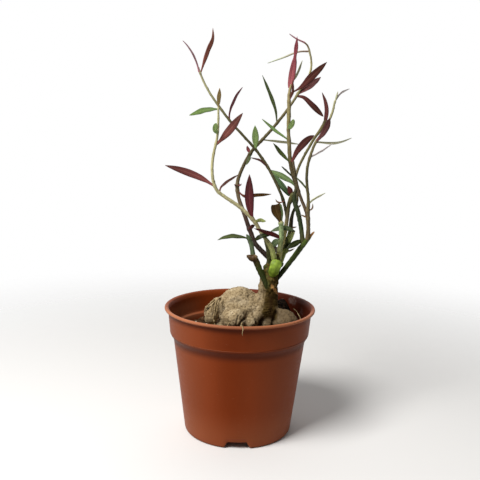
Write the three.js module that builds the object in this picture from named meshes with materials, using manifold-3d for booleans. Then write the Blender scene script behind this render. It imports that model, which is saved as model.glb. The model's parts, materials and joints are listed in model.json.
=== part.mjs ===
// Potted Monadenium rubellum: a swollen tuber with leafy stems in a round plastic nursery pot.
// Millimetres, +Z up. The pot's axis is first the Z axis, and at the end the whole plant is moved
// so that the origin is the middle of its bounding box, at the level that the pot stands on.
import * as THREE from 'three';
import { mergeVertices } from 'three/addons/utils/BufferGeometryUtils.js';
import Module from 'manifold-3d';

const wasm = await Module();
wasm.setup();

// Driving dimensions of the pot
const RIM_RADIUS = 53.3;
const POT_HEIGHT = 90;
const FOOT_RADIUS = 37.2;
const WALL = 1.3;
const BEAD_RADIUS = 1.3;
const COLLAR_TOP_RADIUS = 50.8;
const COLLAR_FOOT = { radius: 49.1, z: 71.8 };
const STEP_FOOT = { radius: 46.8, z: 67.5 };
const LEDGE = { inner: 46.4, outer: 48, z: 76.6 };
const FLOOR_UNDERSIDE = 4.6;
const FLOOR_TOP = 6;
const FOOT_RING = 2;
const FOOT_ROUNDING = 2.2;
const FLOOR_RADIUS = FOOT_RADIUS - 0.2;
const DRAIN_HOLES = 6;
const DRAIN_HOLE_RADIUS = 4;
const DRAIN_CIRCLE = 21;
const NOTCHES = 3;
const NOTCH = { topWidth: 12.6, footWidth: 18.6, height: 4.4, depth: 12 };
const POT_SEGMENTS = 48;

// Driving dimensions of the filling and of the plant
const GAP = 0.3;
const SOIL_LEVEL = 74;
const SOIL_CLEARANCE = 0.4;
const SOIL_RINGS = 7;
const SOIL_SEGMENTS = 32;
const STEM_SIDES = 6;
const STEM_STEP = 6;
const TRUNK_SIDES = 12;
const BLADE_MIDDLE = 1.1;
const BLADE_EDGE = 0.6;
const BLADE_TIP_WIDTH = 0.7;
const BLADE_FOLD = 0.1;
const YOUNG_LEAF_MIDDLE = 3;
const YOUNG_LEAF_EDGE = 1.6;
const LUMP_RELIEF = 0.05;
const LUMP_GRID = [14, 9];
const KNOB_RELIEF = 0.08;
const KNOB_GRID = [8, 6];

// The eye that the routes below are seen from. A route point is [column, row, depth, thickness]:
// column and row are where it lies in the 480 by 480 picture, depth is how many millimetres it lies
// behind the plane through the pot's axis, and thickness is the stem's diameter there in millimetres.
const PICTURE_MIDDLE = 240;
const FOCAL_PIXELS = 642.2;
const EYE_DISTANCE = 450;
const EYE_PITCH = THREE.MathUtils.degToRad(8.88);
const EYE_ROLL = THREE.MathUtils.degToRad(1.24);
const LOOKED_AT = new THREE.Vector3(-0.95, 0, 137.1);

const FORWARD = new THREE.Vector3(0, Math.cos(EYE_PITCH), -Math.sin(EYE_PITCH));
const LEVEL = new THREE.Vector3(1, 0, 0);
const TO_RIGHT = LEVEL.clone().applyAxisAngle(FORWARD, -EYE_ROLL);
const TO_TOP = new THREE.Vector3().crossVectors(TO_RIGHT, FORWARD);
const EYE = LOOKED_AT.clone().addScaledVector(FORWARD, -EYE_DISTANCE);

// The place of a picture point: the sight line through it, followed to the given depth.
function seen([column, row, depth]) {
  const sight = FORWARD.clone()
    .addScaledVector(TO_RIGHT, (column - PICTURE_MIDDLE) / FOCAL_PIXELS)
    .addScaledVector(TO_TOP, (PICTURE_MIDDLE - row) / FOCAL_PIXELS);
  return EYE.clone().addScaledVector(sight, (depth - EYE.y) / sight.y);
}

// A leaf's width at its widest in millimetres, how far its blade is turned about its midrib from
// facing the eye in degrees, and its midrib from root to tip.
function leaf(width, turn, ...midrib) {
  return { width, turn: THREE.MathUtils.degToRad(turn), midrib };
}

// Tuber lobes: middle as a route point, and half sizes across, deep and high
const LOBES = [
  { at: [242, 314, 3], size: [17, 16, 16] },
  { at: [236, 303.6, 0], size: [11.2, 11.5, 11.3] },
  { at: [239, 319, -12], size: [11.5, 9, 9] },
  { at: [213.5, 315, -4], size: [7, 8, 10] },
  { at: [257, 308.6, -2], size: [9.5, 10, 12.8] },
  { at: [267, 324, -8], size: [5.5, 6, 5] },
  { at: [286.5, 322, -6], size: [8.6, 8.6, 9.6] },
  { at: [270, 338, -5], size: [20, 11, 9] },
  { at: [224, 334, -3], size: [13, 11, 9] },
];
const TRUNK = [
  [267, 330, -1, 9], [268, 320, -1, 9.4], [269.4, 307, 0, 11], [268.8, 293, 0, 12.8], [268.2, 284, 0, 12.6],
  [270.6, 273, 0, 11.4], [274, 262, 0, 9.2], [275.3, 256.5, 0, 6],
];
const BARK_KNOBS = [
  { at: [276.4, 284, -2], size: [1.9, 1.9, 1.8] },
  { at: [274.8, 279.6, -4], size: [1.6, 1.6, 1.5] },
  { at: [275.2, 291, -4.4], size: [2.6, 1.8, 2.8] },
  { at: [263.2, 271, -3], size: [1.6, 1.5, 2.2] },
];
const YOUNG_LEAF = leaf(
  8, 0, [271.4, 277.5, -4.5], [273.6, 270.5, -8.2], [277, 264, -8.4], [279.2, 260.2, -7.6]);

const STUB_LEFT = [
  [268.5, 287.5, -2, 4.2], [266, 283.6, -3, 4.3], [261.2, 273, -4, 4.7], [257, 264.8, -5, 5.4],
  [254.4, 261, -5.5, 7], [251.2, 257, -5.8, 8.8], [248.9, 254.9, -6, 6.4],
];
const SHOOT_LEFT = [
  [253.4, 259, -5.5, 3.4], [252.7, 253, -5.5, 3.3], [251.3, 245, -6, 3.2], [249.2, 239, -6.5, 3],
  [246.4, 234.2, -7, 1],
];
const SHOOT_LEAVES = [
  leaf(4, 50, [248.4, 238.4, -6.8], [239.5, 236.9, -11], [229, 237.4, -17], [217.7, 240, -23]),
];

const PALE_STEM = [
  [276.5, 265, -2.5, 3.9], [275.3, 258, -4, 3.9], [270.9, 249, -6, 3.5], [267.5, 241.8, -7.5, 3.2],
  [262.6, 232, -9.5, 2.9], [255.5, 221.9, -11, 2.7], [248, 214.4, -13, 2.6], [241, 208, -14, 2.5],
  [231.8, 201.4, -16, 2.4], [223.6, 196, -17.5, 2.3], [217.2, 190.6, -19, 2.2], [213.7, 183, -20.5, 2.1],
  [212.2, 172.7, -22, 2], [212.4, 162, -22.5, 1.9], [214, 152, -23, 1.8], [217.2, 137, -24, 1.6],
  [218.3, 122, -25, 1.5], [218.3, 106.5, -26, 1.3],
];
const PALE_LEAVES = [
  leaf(5, 15, [213.9, 186, -20], [205, 180.2, -21], [189, 172.9, -24], [165, 165.3, -30]),
  leaf(4.2, 80, [220, 192.4, -18], [225.6, 182, -14], [238.3, 174.7, -10]),
  leaf(3, 20, [217.7, 134, -24.3], [216.4, 128.6, -30], [215.6, 123.4, -36]),
  leaf(5.4, -10, [217, 144.2, -23.5], [230, 129.8, -29], [242.8, 113, -36]),
  leaf(4.6, 25, [218.3, 109, -26], [203.4, 110.6, -20], [189.2, 115.3, -14]),
  leaf(3.6, 60, [218.3, 107.6, -26], [218.8, 98.3, -28], [219.7, 88, -31]),
  leaf(6.2, 5, [252.6, 219.2, -11.6], [250.2, 208, -16], [249.2, 194, -20], [249.5, 174.4, -25]),
  leaf(3.4, 50, [255.2, 221.9, -11], [260.7, 220.2, -17], [266, 221.2, -22]),
  leaf(4, 50, [265.6, 237.4, -8.2], [261, 236.2, -6.6], [255.2, 239.8, -6.6]),
];

const DARK_STEM = [
  [271.5, 263, -0.5, 3.7], [268, 257, 0, 3.7], [260.5, 249.8, 2, 3.5], [255.3, 243.5, 4, 3.3],
  [252.4, 236.8, 6, 3.3], [249, 228, 8.5, 3.2], [245.4, 217.3, 11, 3], [242.3, 208.4, 13, 2.9],
  [239.3, 200, 15, 2.8], [237.4, 190, 16.5, 2.7], [237.8, 181, 17, 2.6], [240.6, 172.4, 17, 2.5],
  [246.5, 160, 16.5, 2.4], [253.5, 149, 15.5, 2.4], [261.6, 140.5, 14.5, 2.2], [271.8, 129.3, 13, 2.1],
  [281.3, 117.8, 12, 2], [289, 107.5, 11.5, 1.9], [296, 97, 12, 1.8], [302.5, 85.5, 13, 1.6],
  [309, 75.5, 14, 1.5], [311.4, 65, 13, 1.4], [310.2, 54.5, 10, 1.3], [307.6, 45.8, 7, 1.2],
  [304, 42.2, 4, 1],
];
const DARK_LEAVES = [
  leaf(4, 60, [237.8, 191, 16], [244.5, 196.4, 13], [254, 196.2, 9], [271.4, 194.2, 4]),
  leaf(3.4, 50, [249, 228.6, 8.3], [251.8, 226, 14], [254.6, 223.2, 19]),
  leaf(3, 30, [250, 154.6, 16], [248.6, 160, 9], [246.4, 164.8, 3]),
  leaf(2.6, 0, [250.6, 153.6, 15.8], [248.4, 150, 21], [247, 145.8, 26]),
  leaf(4, 75, [262.2, 139.8, 14.4], [281.7, 141.8, 18], [300, 144.4, 22]),
  leaf(3.7, 40, [277, 123, 12.5], [275.4, 110, 16], [270.3, 95, 21], [262.4, 75.3, 28]),
  leaf(4.6, 10, [296.6, 96, 12], [302.8, 98.2, 9], [312.3, 105.2, 3], [323.4, 116.4, -4]),
  leaf(5.4, -20, [298, 94, 12], [303, 90.6, 14], [311, 84.6, 17], [320.9, 77.1, 21]),
  leaf(4, 80, [310, 51.2, 9], [298.3, 51.7, 12], [285, 56.8, 16], [267.5, 63.2, 21]),
  leaf(2.4, 70, [304.6, 42.4, 4.2], [296.8, 38.8, 1], [289.2, 33.8, -2]),
];

const MIDDLE_STEM = [
  [277.4, 266, 1, 3.5], [278.6, 260, 1, 3.4], [279.6, 250, 1.8, 3.3], [282, 241, 2.5, 3.1],
  [284.8, 231.5, 2.5, 2.9], [286.6, 222, 2, 2.8], [287.6, 213, 2.5, 2.5], [287.2, 204, 3, 2.2],
  [288.8, 197, 3.5, 2], [291.6, 192.5, 4, 1.8],
];
const MIDDLE_STUB = [
  [279.2, 253, 0.8, 3.2], [279.9, 247, -1, 3.2], [280.7, 240, -2.6, 3.1], [281, 230, -3.6, 3.1],
  [280.7, 221, -4.4, 2.9],
];
const MIDDLE_LEAVES = [
  leaf(4.8, -15, [287.8, 198.4, 3.3], [281.6, 186.7, 7], [272.6, 175, 12]),
  leaf(3.8, 10, [290.8, 194.2, 3.8], [289.6, 190.2, 2.6], [287.5, 186.4, 1.4]),
  leaf(4.2, 50, [280.6, 236.6, -3.2], [271.8, 232.3, -9], [261, 229.5, -16], [252.5, 228.4, -20]),
  leaf(4.6, 25, [281, 240.4, 2.4], [276, 242.4, 5.2], [270.8, 247.3, 8]),
];
const CUP_LEAF = leaf(
  8.2, 15, [280.6, 224, -4.2], [278.4, 216, -5.4], [276.6, 210, -6.8], [275.6, 203.8, -9.4]);

const CROSS_STEM = [
  [287, 220, 1.6, 2.3], [286, 214, 0.6, 2.2], [284.5, 206.4, -0.6, 2.1], [282.7, 198.6, -1.8, 2.1],
  [279.3, 190, -3, 2], [274.2, 179, -4.2, 2], [269.4, 169.8, -5.2, 2], [263.9, 161, -6, 2],
  [255.5, 149.4, -7, 1.9], [245.6, 138.2, -8.5, 1.8], [232.5, 124, -10, 1.7], [219.5, 107, -12, 1.7],
  [209.7, 92.8, -13, 1.5], [203.3, 80.8, -14, 1.4], [199.8, 72, -15, 1.3], [198, 66.5, -15.5, 1.2],
];
const CROSS_LEAVES = [
  leaf(4, 70, [229.2, 120.4, -10.4], [231, 107, -14], [235.2, 98, -19], [242.6, 87.1, -25]),
  leaf(3.6, 75, [198.2, 68, -15.4], [193.6, 53.3, -20], [182.7, 40.5, -26]),
  leaf(4, 50, [200.4, 73.5, -15], [207.4, 51.9, -9], [212.8, 38.3, -3], [212.9, 28, 1]),
  leaf(4.6, 0, [255.8, 149.6, -7], [255.4, 137, -12], [255, 125.4, -17]),
  leaf(3.6, 65, [267.4, 166.6, -5.5], [260, 160.4, -10], [251.1, 157.7, -15]),
  leaf(1.2, 0, [283.4, 201.4, -1.4], [280.2, 202.6, -2.4], [277, 201.6, -3], [275.6, 199, -3]),
];

const BEHIND_STEM = [
  [275.8, 272, 2.6, 3.9], [279.2, 264.5, 4.8, 3.9], [283, 254, 7.4, 3.8], [286, 246.5, 9, 3.8],
  [289, 238, 10.5, 3.2], [290.6, 228.5, 11, 2.7], [291.4, 219.5, 11.5, 2.4], [293.4, 211.3, 11.5, 2.1],
  [296.3, 205, 11.5, 1.9], [297.3, 197.5, 11, 1.7], [296.3, 186.5, 10.5, 1.4],
];
const BEHIND_STUB = [[286.2, 247.4, 9, 2.6], [289.8, 240.8, 6.6, 2.6], [294.6, 231.3, 4, 2.3]];
const BEHIND_LEAVES = [
  leaf(4.6, 15, [295.6, 186.4, 10.6], [290.6, 181.4, 13], [280.9, 175.8, 17], [267.6, 169.6, 22]),
  leaf(3.8, 60, [290.6, 228.8, 11], [284, 228.4, 10], [276.8, 229.3, 9], [270.4, 231.5, 8]),
  leaf(2.4, 50, [290.4, 229, 11], [293.2, 229.4, 9.6], [295.8, 231.8, 8.6]),
  leaf(1.3, 0, [284.2, 250.8, 8], [289.5, 250.8, 6], [294.8, 248.3, 4.2]),
  leaf(1.1, 0, [290.4, 227.8, 10.8], [294, 227.4, 9], [296.9, 226.8, 8]),
];

const BRANCH_RIGHT = [
  [275, 281, 0, 3.5], [280, 274.8, 0, 3.6], [284.4, 269.3, -0.5, 3.7], [292.1, 259.3, -2.5, 3.9],
  [300.5, 248, -5, 4], [306.8, 240.2, -6.8, 3.7], [311, 235.4, -8, 3], [314.6, 231.8, -9, 1.8],
];

const TALL_STEM = [
  [303, 245, -5.4, 3.5], [301.9, 235, -5, 3.2], [300.5, 224, -4, 3.1], [297.8, 211.5, -3, 3],
  [294.7, 202, -2, 2.9], [294.4, 195, -1.5, 2.7], [295.5, 188, -1, 2.7], [294.3, 179, 0, 2.8],
  [291.6, 169, 0, 2.8], [289.9, 158, 0, 2.8], [289.1, 143, 0, 2.7], [288.4, 130, 0, 2.3],
  [288.8, 118, 0, 2.8], [289, 106, 0, 2.6], [289.1, 95, -0.5, 2.1], [291.6, 82, -1, 1.5],
];
const TALL_SIDE_STEM = [
  [294, 182, 0, 2], [296, 175, 1, 2], [298.6, 167.4, 2.5, 1.8], [303.7, 156.9, 5, 1.7],
  [310.2, 145, 8, 1.6], [317.3, 133.8, 11, 1.6], [323, 124.4, 14, 1.5], [325.7, 118.2, 16, 1.3],
];
const TALL_LEAVES = [
  leaf(5, -20, [289.4, 94, -0.4], [300.6, 87.4, -4], [313.1, 75.3, -9], [327, 62, -15]),
  leaf(4.6, 5, [289.8, 88, -0.8], [291.8, 76, -3], [295, 57, -8], [297.2, 36.6, -14]),
  leaf(2.4, 40, [289.2, 101, -0.3], [292.6, 92, -2.2], [292.8, 80.2, -3.2]),
  leaf(3.6, 70, [291, 84, -1], [297.4, 73.2, 2], [302.4, 60.4, 6]),
  leaf(3.4, 45, [288.6, 140, 0], [274.4, 129.9, -4], [261.9, 118.9, -9]),
  leaf(3.4, 20, [288.6, 129.4, 0], [291.6, 124.6, -6], [293.4, 119.4, -12]),
  leaf(3.6, 30, [289.6, 162, 0], [280.8, 152.8, -5], [273.2, 143.2, -10]),
  leaf(3, 60, [292, 176, 0], [286.2, 170.6, -6], [281.6, 166.4, -11]),
  leaf(4, 60, [302.2, 240.6, -5.4], [297, 243, -8], [291.6, 246, -10], [286.5, 249, -11]),
  leaf(3.6, 50, [325.5, 120.4, 15.6], [327.3, 107, 17], [325, 98.3, 18.5], [322.1, 92.6, 20]),
];

const FORK_STEM = [
  [307, 240.8, -6.8, 3.2], [308.2, 232, -9, 2.9], [308.1, 221, -12, 2.8], [307.9, 211, -14, 2.6],
  [308.4, 201, -16, 2.1], [307.3, 188, -18, 1.9], [306.7, 176, -20, 1.9], [308, 164.5, -21, 1.8],
  [311.2, 152.2, -22, 1.8], [315.6, 141.8, -23, 1.7], [322, 131.5, -24, 1.5], [328.5, 121.8, -25, 1.4],
  [332.2, 112, -25.6, 1.3], [335.3, 99.8, -26, 1.1],
];
const FORK_LEAVES = [
  leaf(5.2, 15, [315.2, 143, -23], [320.6, 133.6, -26], [326.4, 125.6, -28], [331.4, 117, -30]),
  leaf(4, 75, [315.8, 142.2, -23], [331.7, 143, -20], [341.7, 141.8, -17], [351.6, 138, -14]),
  leaf(3, 75, [309.8, 157.6, -21.6], [321.6, 151, -24], [332.6, 143.6, -27]),
  leaf(3, 65, [307.2, 189, -18], [301.6, 182.6, -15.5], [295.8, 176.8, -13]),
  leaf(3, 70, [308.2, 204.8, -15.4], [312.6, 200.2, -17], [325.4, 192.9, -21]),
  leaf(1.1, 0, [307.9, 211.6, -14], [312.3, 208.2, -15], [312.7, 203.4, -16]),
  leaf(1.2, 0, [335, 101.6, -26], [336.6, 96.4, -26.4], [338, 91.2, -27]),
  leaf(2.6, 70, [335.1, 101, -26], [341, 93, -25], [349.6, 88.7, -23]),
  leaf(1.1, 0, [308.1, 218.2, -12.6], [304.2, 216.3, -13.4], [300.6, 214.6, -14]),
];

const LEAN_STEM = [
  [307.9, 214.4, -13.4, 2.4], [304.4, 206, -12, 2.2], [301, 198.5, -10.5, 2.1], [298.4, 190, -9, 2],
  [296.4, 181.5, -8, 1.9], [294.6, 171, -7.5, 1.8], [293, 160.4, -7, 1.4],
];
const LEAN_LEAVES = [
  leaf(5, 10, [293.1, 163, -7.2], [300, 146.9, -10], [307.2, 139.2, -14], [314, 134.3, -18]),
];

// A leaf blade's width along its midrib, as shares of its length and of its full width
const LANCE = [[0, 0.26], [0.12, 0.42], [0.3, 0.82], [0.52, 1], [0.74, 0.78], [0.9, 0.4], [1, 0.1]];
const SPOON = [[0, 0.34], [0.2, 0.5], [0.42, 0.86], [0.64, 1], [0.84, 0.92], [0.95, 0.6], [1, 0.34]];
const EGG = [[0, 0.3], [0.1, 0.62], [0.3, 0.94], [0.55, 1], [0.78, 0.86], [0.93, 0.55], [1, 0.2]];

// A geometry as a solid that can be joined and cut.
function asSolid(geometry) {
  const bare = geometry.index ? geometry : geometry.clone();
  bare.deleteAttribute('normal');
  bare.deleteAttribute('uv');
  const merged = mergeVertices(bare, 1e-4);
  return new wasm.Manifold(new wasm.Mesh({
    numProp: 3,
    vertProperties: new Float32Array(merged.attributes.position.array),
    triVerts: new Uint32Array(merged.index.array),
  }));
}

// A solid as a named mesh with its own material.
function asMesh(name, solid, colour, roughness) {
  const { vertProperties, triVerts } = solid.getMesh();
  const geometry = new THREE.BufferGeometry();
  geometry.setAttribute('position', new THREE.BufferAttribute(new Float32Array(vertProperties), 3));
  geometry.setIndex(new THREE.BufferAttribute(new Uint32Array(triVerts), 1));
  geometry.computeVertexNormals();
  const material = new THREE.MeshStandardMaterial({ color: colour, roughness, metalness: 0 });
  const mesh = new THREE.Mesh(geometry, material);
  mesh.name = name;
  return mesh;
}

function join(solids) {
  return solids.reduce((whole, piece) => whole.add(piece));
}

// What is left of a solid when its neighbours are taken away: its largest piece.
function cutFree(solid, neighbours) {
  const cut = neighbours.reduce((left, other) => left.subtract(other), solid);
  const pieces = cut.decompose();
  return pieces.reduce((largest, piece) => (piece.volume() > largest.volume() ? piece : largest));
}

// The value of a list of [share, value] pairs at a share between its ends.
function between(pairs, share) {
  const next = Math.max(1, pairs.findIndex(([at]) => at >= share));
  const [from, low] = pairs[next - 1];
  const [to, high] = pairs[next];
  return low + (high - low) * (share - from) / (to - from);
}

// A round tube along a route, drawn in and out to the route's own thickness at each step. It is fatter
// and longer by extra all round.
function stem(route, extra = 0, sides = STEM_SIDES) {
  const path = new THREE.CatmullRomCurve3(route.map(seen), false, 'centripetal');
  const steps = Math.max(3, Math.round(path.getLength() / STEM_STEP));
  const corners = Array.from({ length: sides }, (_, i) => (i * 2 * Math.PI) / sides);
  const section = new THREE.Shape(corners.map((a) => new THREE.Vector2(Math.cos(a), Math.sin(a))));
  const tube = new THREE.ExtrudeGeometry(section, { extrudePath: path, steps, bevelEnabled: false });
  const middles = path.getSpacedPoints(steps);
  const thickness = route.map(([, , , value], i) => [i / (route.length - 1), value]);
  const position = tube.attributes.position;
  const point = new THREE.Vector3();
  for (let i = 0; i < position.count; i += 1) {
    point.fromBufferAttribute(position, i);
    const distances = middles.map((middle) => middle.distanceTo(point));
    const step = distances.indexOf(Math.min(...distances));
    const share = path.getUtoTmapping(step / steps);
    const radius = between(thickness, share) / 2 + extra;
    point.sub(middles[step]).setLength(radius).add(middles[step]);
    const atEnd = Math.sign(step - steps / 2) * (step === 0 || step === steps ? extra : 0);
    point.addScaledVector(path.getTangentAt(step / steps), atEnd);
    position.setXYZ(i, point.x, point.y, point.z);
  }
  return asSolid(tube);
}

// Rings of six points, skinned into one closed body. The rings turn to the right about the way they
// follow, and their points are the lower edge, keel and upper edge of a folded blade and back again.
function skin(rings) {
  const count = rings[0].length;
  const last = (rings.length - 1) * count;
  const faces = [];
  for (let ring = 0; ring < rings.length - 1; ring += 1) {
    for (let i = 0; i < count; i += 1) {
      const a = ring * count + i;
      const b = ring * count + ((i + 1) % count);
      faces.push(a, b, b + count, a, b + count, a + count);
    }
  }
  for (const [a, b, c] of [[0, 1, 4], [0, 4, 5], [1, 2, 3], [1, 3, 4]]) {
    faces.push(a, c, b, last + a, last + b, last + c);
  }
  const geometry = new THREE.BufferGeometry().setFromPoints(rings.flat());
  geometry.setIndex(faces);
  return asSolid(geometry);
}

// A thick blade, folded a little along its midrib, with the outline that shape gives.
function blade({ width, turn, midrib }, extra = 0, options = {}) {
  const { shape = LANCE, middle = BLADE_MIDDLE, edge = BLADE_EDGE } = options;
  const path = new THREE.CatmullRomCurve3(midrib.map(seen), false, 'centripetal');
  const rings = shape.map(([along, share], index) => {
    const middlePoint = path.getPointAt(along);
    const tangent = path.getTangentAt(along);
    const ends = Number(index === shape.length - 1) - Number(index === 0);
    middlePoint.addScaledVector(tangent, ends * extra);
    const across = new THREE.Vector3().crossVectors(tangent, FORWARD).normalize();
    across.applyAxisAngle(tangent, turn);
    const up = new THREE.Vector3().crossVectors(tangent, across);
    const half = Math.max(width * share, BLADE_TIP_WIDTH) / 2 + extra;
    const rise = (width * share * BLADE_FOLD) / 2;
    const thin = Math.min(edge, middle) / 2 + extra;
    const thick = (edge + (middle - edge) * Math.min(1, share * 1.5)) / 2 + extra;
    const outline = [
      [-half, rise - thin], [0, -rise - thick], [half, rise - thin],
      [half, rise + thin], [0, thick - rise], [-half, rise + thin],
    ];
    return outline.map(([x, y]) => middlePoint.clone().addScaledVector(across, x).addScaledVector(up, y));
  });
  return skin(rings);
}

// A lump of the tuber or bark: an ellipsoid with a slow, uneven relief.
function lump({ at, size }, extra = 0, relief = LUMP_RELIEF, grid = LUMP_GRID) {
  const ball = new THREE.SphereGeometry(1, ...grid);
  const position = ball.attributes.position;
  const middle = seen(at);
  const point = new THREE.Vector3();
  for (let i = 0; i < position.count; i += 1) {
    point.fromBufferAttribute(position, i);
    const { x, y, z } = point;
    const waves = [4.1 * x + middle.x, 5.3 * y + 2 * z, 4.7 * z - 3 * x + middle.z];
    const swell = 1 + relief * waves.reduce((sum, wave) => sum + Math.sin(wave), 0);
    const [across, deep, high] = size.map((half) => half * swell + extra);
    position.setXYZ(i, x * across, y * deep, z * high);
  }
  ball.translate(middle.x, middle.y, middle.z);
  return asSolid(ball);
}

// The pot's wall as one closed profile of [radius, height], from the axis under the floor, round the
// foot and the rim, and back to the axis on top of the floor.
function potProfile() {
  const arc = (count, from, to, radius, cx, cz) => Array.from({ length: count + 1 }, (_, i) => {
    const angle = THREE.MathUtils.degToRad(from + ((to - from) * i) / count);
    return [cx + radius * Math.cos(angle), cz + radius * Math.sin(angle)];
  });
  return [
    [0, FLOOR_UNDERSIDE],
    [FOOT_RADIUS - FOOT_RING, FLOOR_UNDERSIDE],
    [FOOT_RADIUS - FOOT_RING, 0],
    [FOOT_RADIUS - 0.5, 0],
    ...arc(3, -70, -8, FOOT_ROUNDING, FOOT_RADIUS + 1.2 - FOOT_ROUNDING, FOOT_ROUNDING),
    [STEP_FOOT.radius, STEP_FOOT.z],
    [COLLAR_FOOT.radius, COLLAR_FOOT.z - 0.8],
    [COLLAR_FOOT.radius + 0.25, COLLAR_FOOT.z + 0.3],
    [COLLAR_TOP_RADIUS, POT_HEIGHT - 2.9],
    ...arc(5, -110, 90, BEAD_RADIUS, RIM_RADIUS - BEAD_RADIUS, POT_HEIGHT - BEAD_RADIUS),
    [COLLAR_TOP_RADIUS - 0.2, POT_HEIGHT - 0.5],
    [COLLAR_TOP_RADIUS - WALL, POT_HEIGHT - 3],
    [LEDGE.outer, LEDGE.z + 0.5],
    [LEDGE.inner, LEDGE.z - 0.3],
    [FLOOR_RADIUS + 0.6, FLOOR_TOP + 1.2],
    [FLOOR_RADIUS, FLOOR_TOP],
    [0, FLOOR_TOP],
  ];
}

// A turned body, standing on the Z axis.
function turned(profile, segments) {
  const lathe = new THREE.LatheGeometry(profile.map(([r, z]) => new THREE.Vector2(r, z)), segments);
  lathe.rotateX(Math.PI / 2);
  return asSolid(lathe);
}

function drainHole(angle) {
  const hole = new THREE.CylinderGeometry(DRAIN_HOLE_RADIUS, DRAIN_HOLE_RADIUS, 12, 16);
  hole.rotateX(Math.PI / 2);
  hole.translate(DRAIN_CIRCLE * Math.cos(angle), DRAIN_CIRCLE * Math.sin(angle), FLOOR_TOP);
  return asSolid(hole);
}

// A notch in the foot: narrower at its top, cut in from outside at the given angle.
function footNotch(angle) {
  const { topWidth, footWidth, height, depth } = NOTCH;
  const outline = [
    [-footWidth / 2, -1], [footWidth / 2, -1], [topWidth / 2, height], [-topWidth / 2, height],
  ];
  const shape = new THREE.Shape(outline.map(([x, y]) => new THREE.Vector2(x, y)));
  const wedge = new THREE.ExtrudeGeometry(shape, { depth, bevelEnabled: false });
  wedge.rotateX(Math.PI / 2);
  wedge.translate(0, depth / 2 - FOOT_RADIUS, 0);
  wedge.rotateZ(angle);
  return asSolid(wedge);
}

function pot() {
  const turns = (count) => Array.from({ length: count }, (_, i) => (i * 2 * Math.PI) / count);
  const cuts = [...turns(DRAIN_HOLES).map(drainHole), ...turns(NOTCHES).map(footNotch)];
  return cutFree(turned(potProfile(), POT_SEGMENTS), cuts);
}

// The soil's top: slow mounds, a heap against the wall at the back right, level at the wall.
function soilHeight(x, y) {
  const radius = Math.hypot(x, y);
  const mounds = 0.9 * Math.sin(x / 4.3 + 1) + 0.8 * Math.cos(y / 3.7) + 0.6 * Math.sin((x + y) / 2.9);
  const heap = 5.5 * Math.exp(-(((x - 27) / 9) ** 2) - ((y - 27) / 9) ** 2);
  const fade = Math.min(1, (LEDGE.inner - radius) / 4);
  return SOIL_LEVEL + (mounds + heap) * fade;
}

function soil(extra = 0) {
  const wallLean = (LEDGE.inner - FLOOR_RADIUS) / (LEDGE.z - FLOOR_TOP);
  const topRadius = LEDGE.inner - SOIL_CLEARANCE - wallLean * (LEDGE.z - SOIL_LEVEL);
  const bottom = FLOOR_TOP + GAP;
  const profile = [[0, bottom], [FLOOR_RADIUS - 0.7, bottom], [FLOOR_RADIUS + 0.1, bottom + 1.4]];
  for (let ring = SOIL_RINGS; ring >= 0; ring -= 1) {
    profile.push([(topRadius * ring) / SOIL_RINGS, SOIL_LEVEL]);
  }
  const lathe = new THREE.LatheGeometry(profile.map(([r, z]) => new THREE.Vector2(r, z)), SOIL_SEGMENTS);
  lathe.rotateX(Math.PI / 2);
  const position = lathe.attributes.position;
  for (let i = 0; i < position.count; i += 1) {
    if (position.getZ(i) > SOIL_LEVEL - 1) {
      position.setZ(i, soilHeight(position.getX(i), position.getY(i)) + extra);
    }
  }
  return asSolid(lathe);
}

function caudex(extra = 0) {
  const lobes = LOBES.map((lobe) => lump(lobe, extra));
  const knobs = BARK_KNOBS.map((knob) => lump(knob, extra, KNOB_RELIEF, KNOB_GRID));
  return join([...lobes, stem(TRUNK, extra, TRUNK_SIDES), ...knobs]);
}

function leafyStem(routes, leaves, extra = 0) {
  return join([...routes.map((route) => stem(route, extra)), ...leaves.map((each) => blade(each, extra))]);
}

function youngLeaf(extra) {
  return blade(YOUNG_LEAF, extra, { shape: EGG, middle: YOUNG_LEAF_MIDDLE, edge: YOUNG_LEAF_EDGE });
}

function middleStem(extra) {
  const leafy = leafyStem([MIDDLE_STEM, MIDDLE_STUB], MIDDLE_LEAVES, extra);
  return join([leafy, blade(CUP_LEAF, extra, { shape: SPOON })]);
}

// Each grown piece with its colour, what it must stay clear of, and its body, fatter all round by
// extra. A piece is cut back to leave a gap to the pieces named in its row.
const GROWN = [
  ['young_leaf', 0x7e9e38, ['caudex'], youngLeaf],
  ['stub_left', 0x3a4228, ['caudex'], (extra) => stem(STUB_LEFT, extra, 10)],
  ['shoot_left', 0x5d7a5a, ['stub_left'], (extra) => leafyStem([SHOOT_LEFT], SHOOT_LEAVES, extra)],
  ['stem_pale', 0xa9a078, ['caudex', 'young_leaf'],
    (extra) => leafyStem([PALE_STEM], PALE_LEAVES, extra)],
  ['stem_dark', 0x54503a, ['caudex', 'stem_pale'],
    (extra) => leafyStem([DARK_STEM], DARK_LEAVES, extra)],
  ['stem_middle', 0x6f7a4c, ['caudex', 'stem_pale', 'stem_dark'], middleStem],
  ['stem_cross', 0x5a5638, ['stem_middle'], (extra) => leafyStem([CROSS_STEM], CROSS_LEAVES, extra)],
  ['stem_behind', 0x45502f, ['caudex', 'stem_middle'],
    (extra) => leafyStem([BEHIND_STEM, BEHIND_STUB], BEHIND_LEAVES, extra)],
  ['branch_right', 0x3c4a26, ['caudex', 'stem_behind'], (extra) => stem(BRANCH_RIGHT, extra, 8)],
  ['stem_tall', 0x6f6b45, ['branch_right'],
    (extra) => leafyStem([TALL_STEM, TALL_SIDE_STEM], TALL_LEAVES, extra)],
  ['stem_fork', 0x6a6340, ['branch_right', 'stem_tall'],
    (extra) => leafyStem([FORK_STEM], FORK_LEAVES, extra)],
  ['stem_lean', 0x66603e, ['stem_fork'], (extra) => leafyStem([LEAN_STEM], LEAN_LEAVES, extra)],
];

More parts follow.
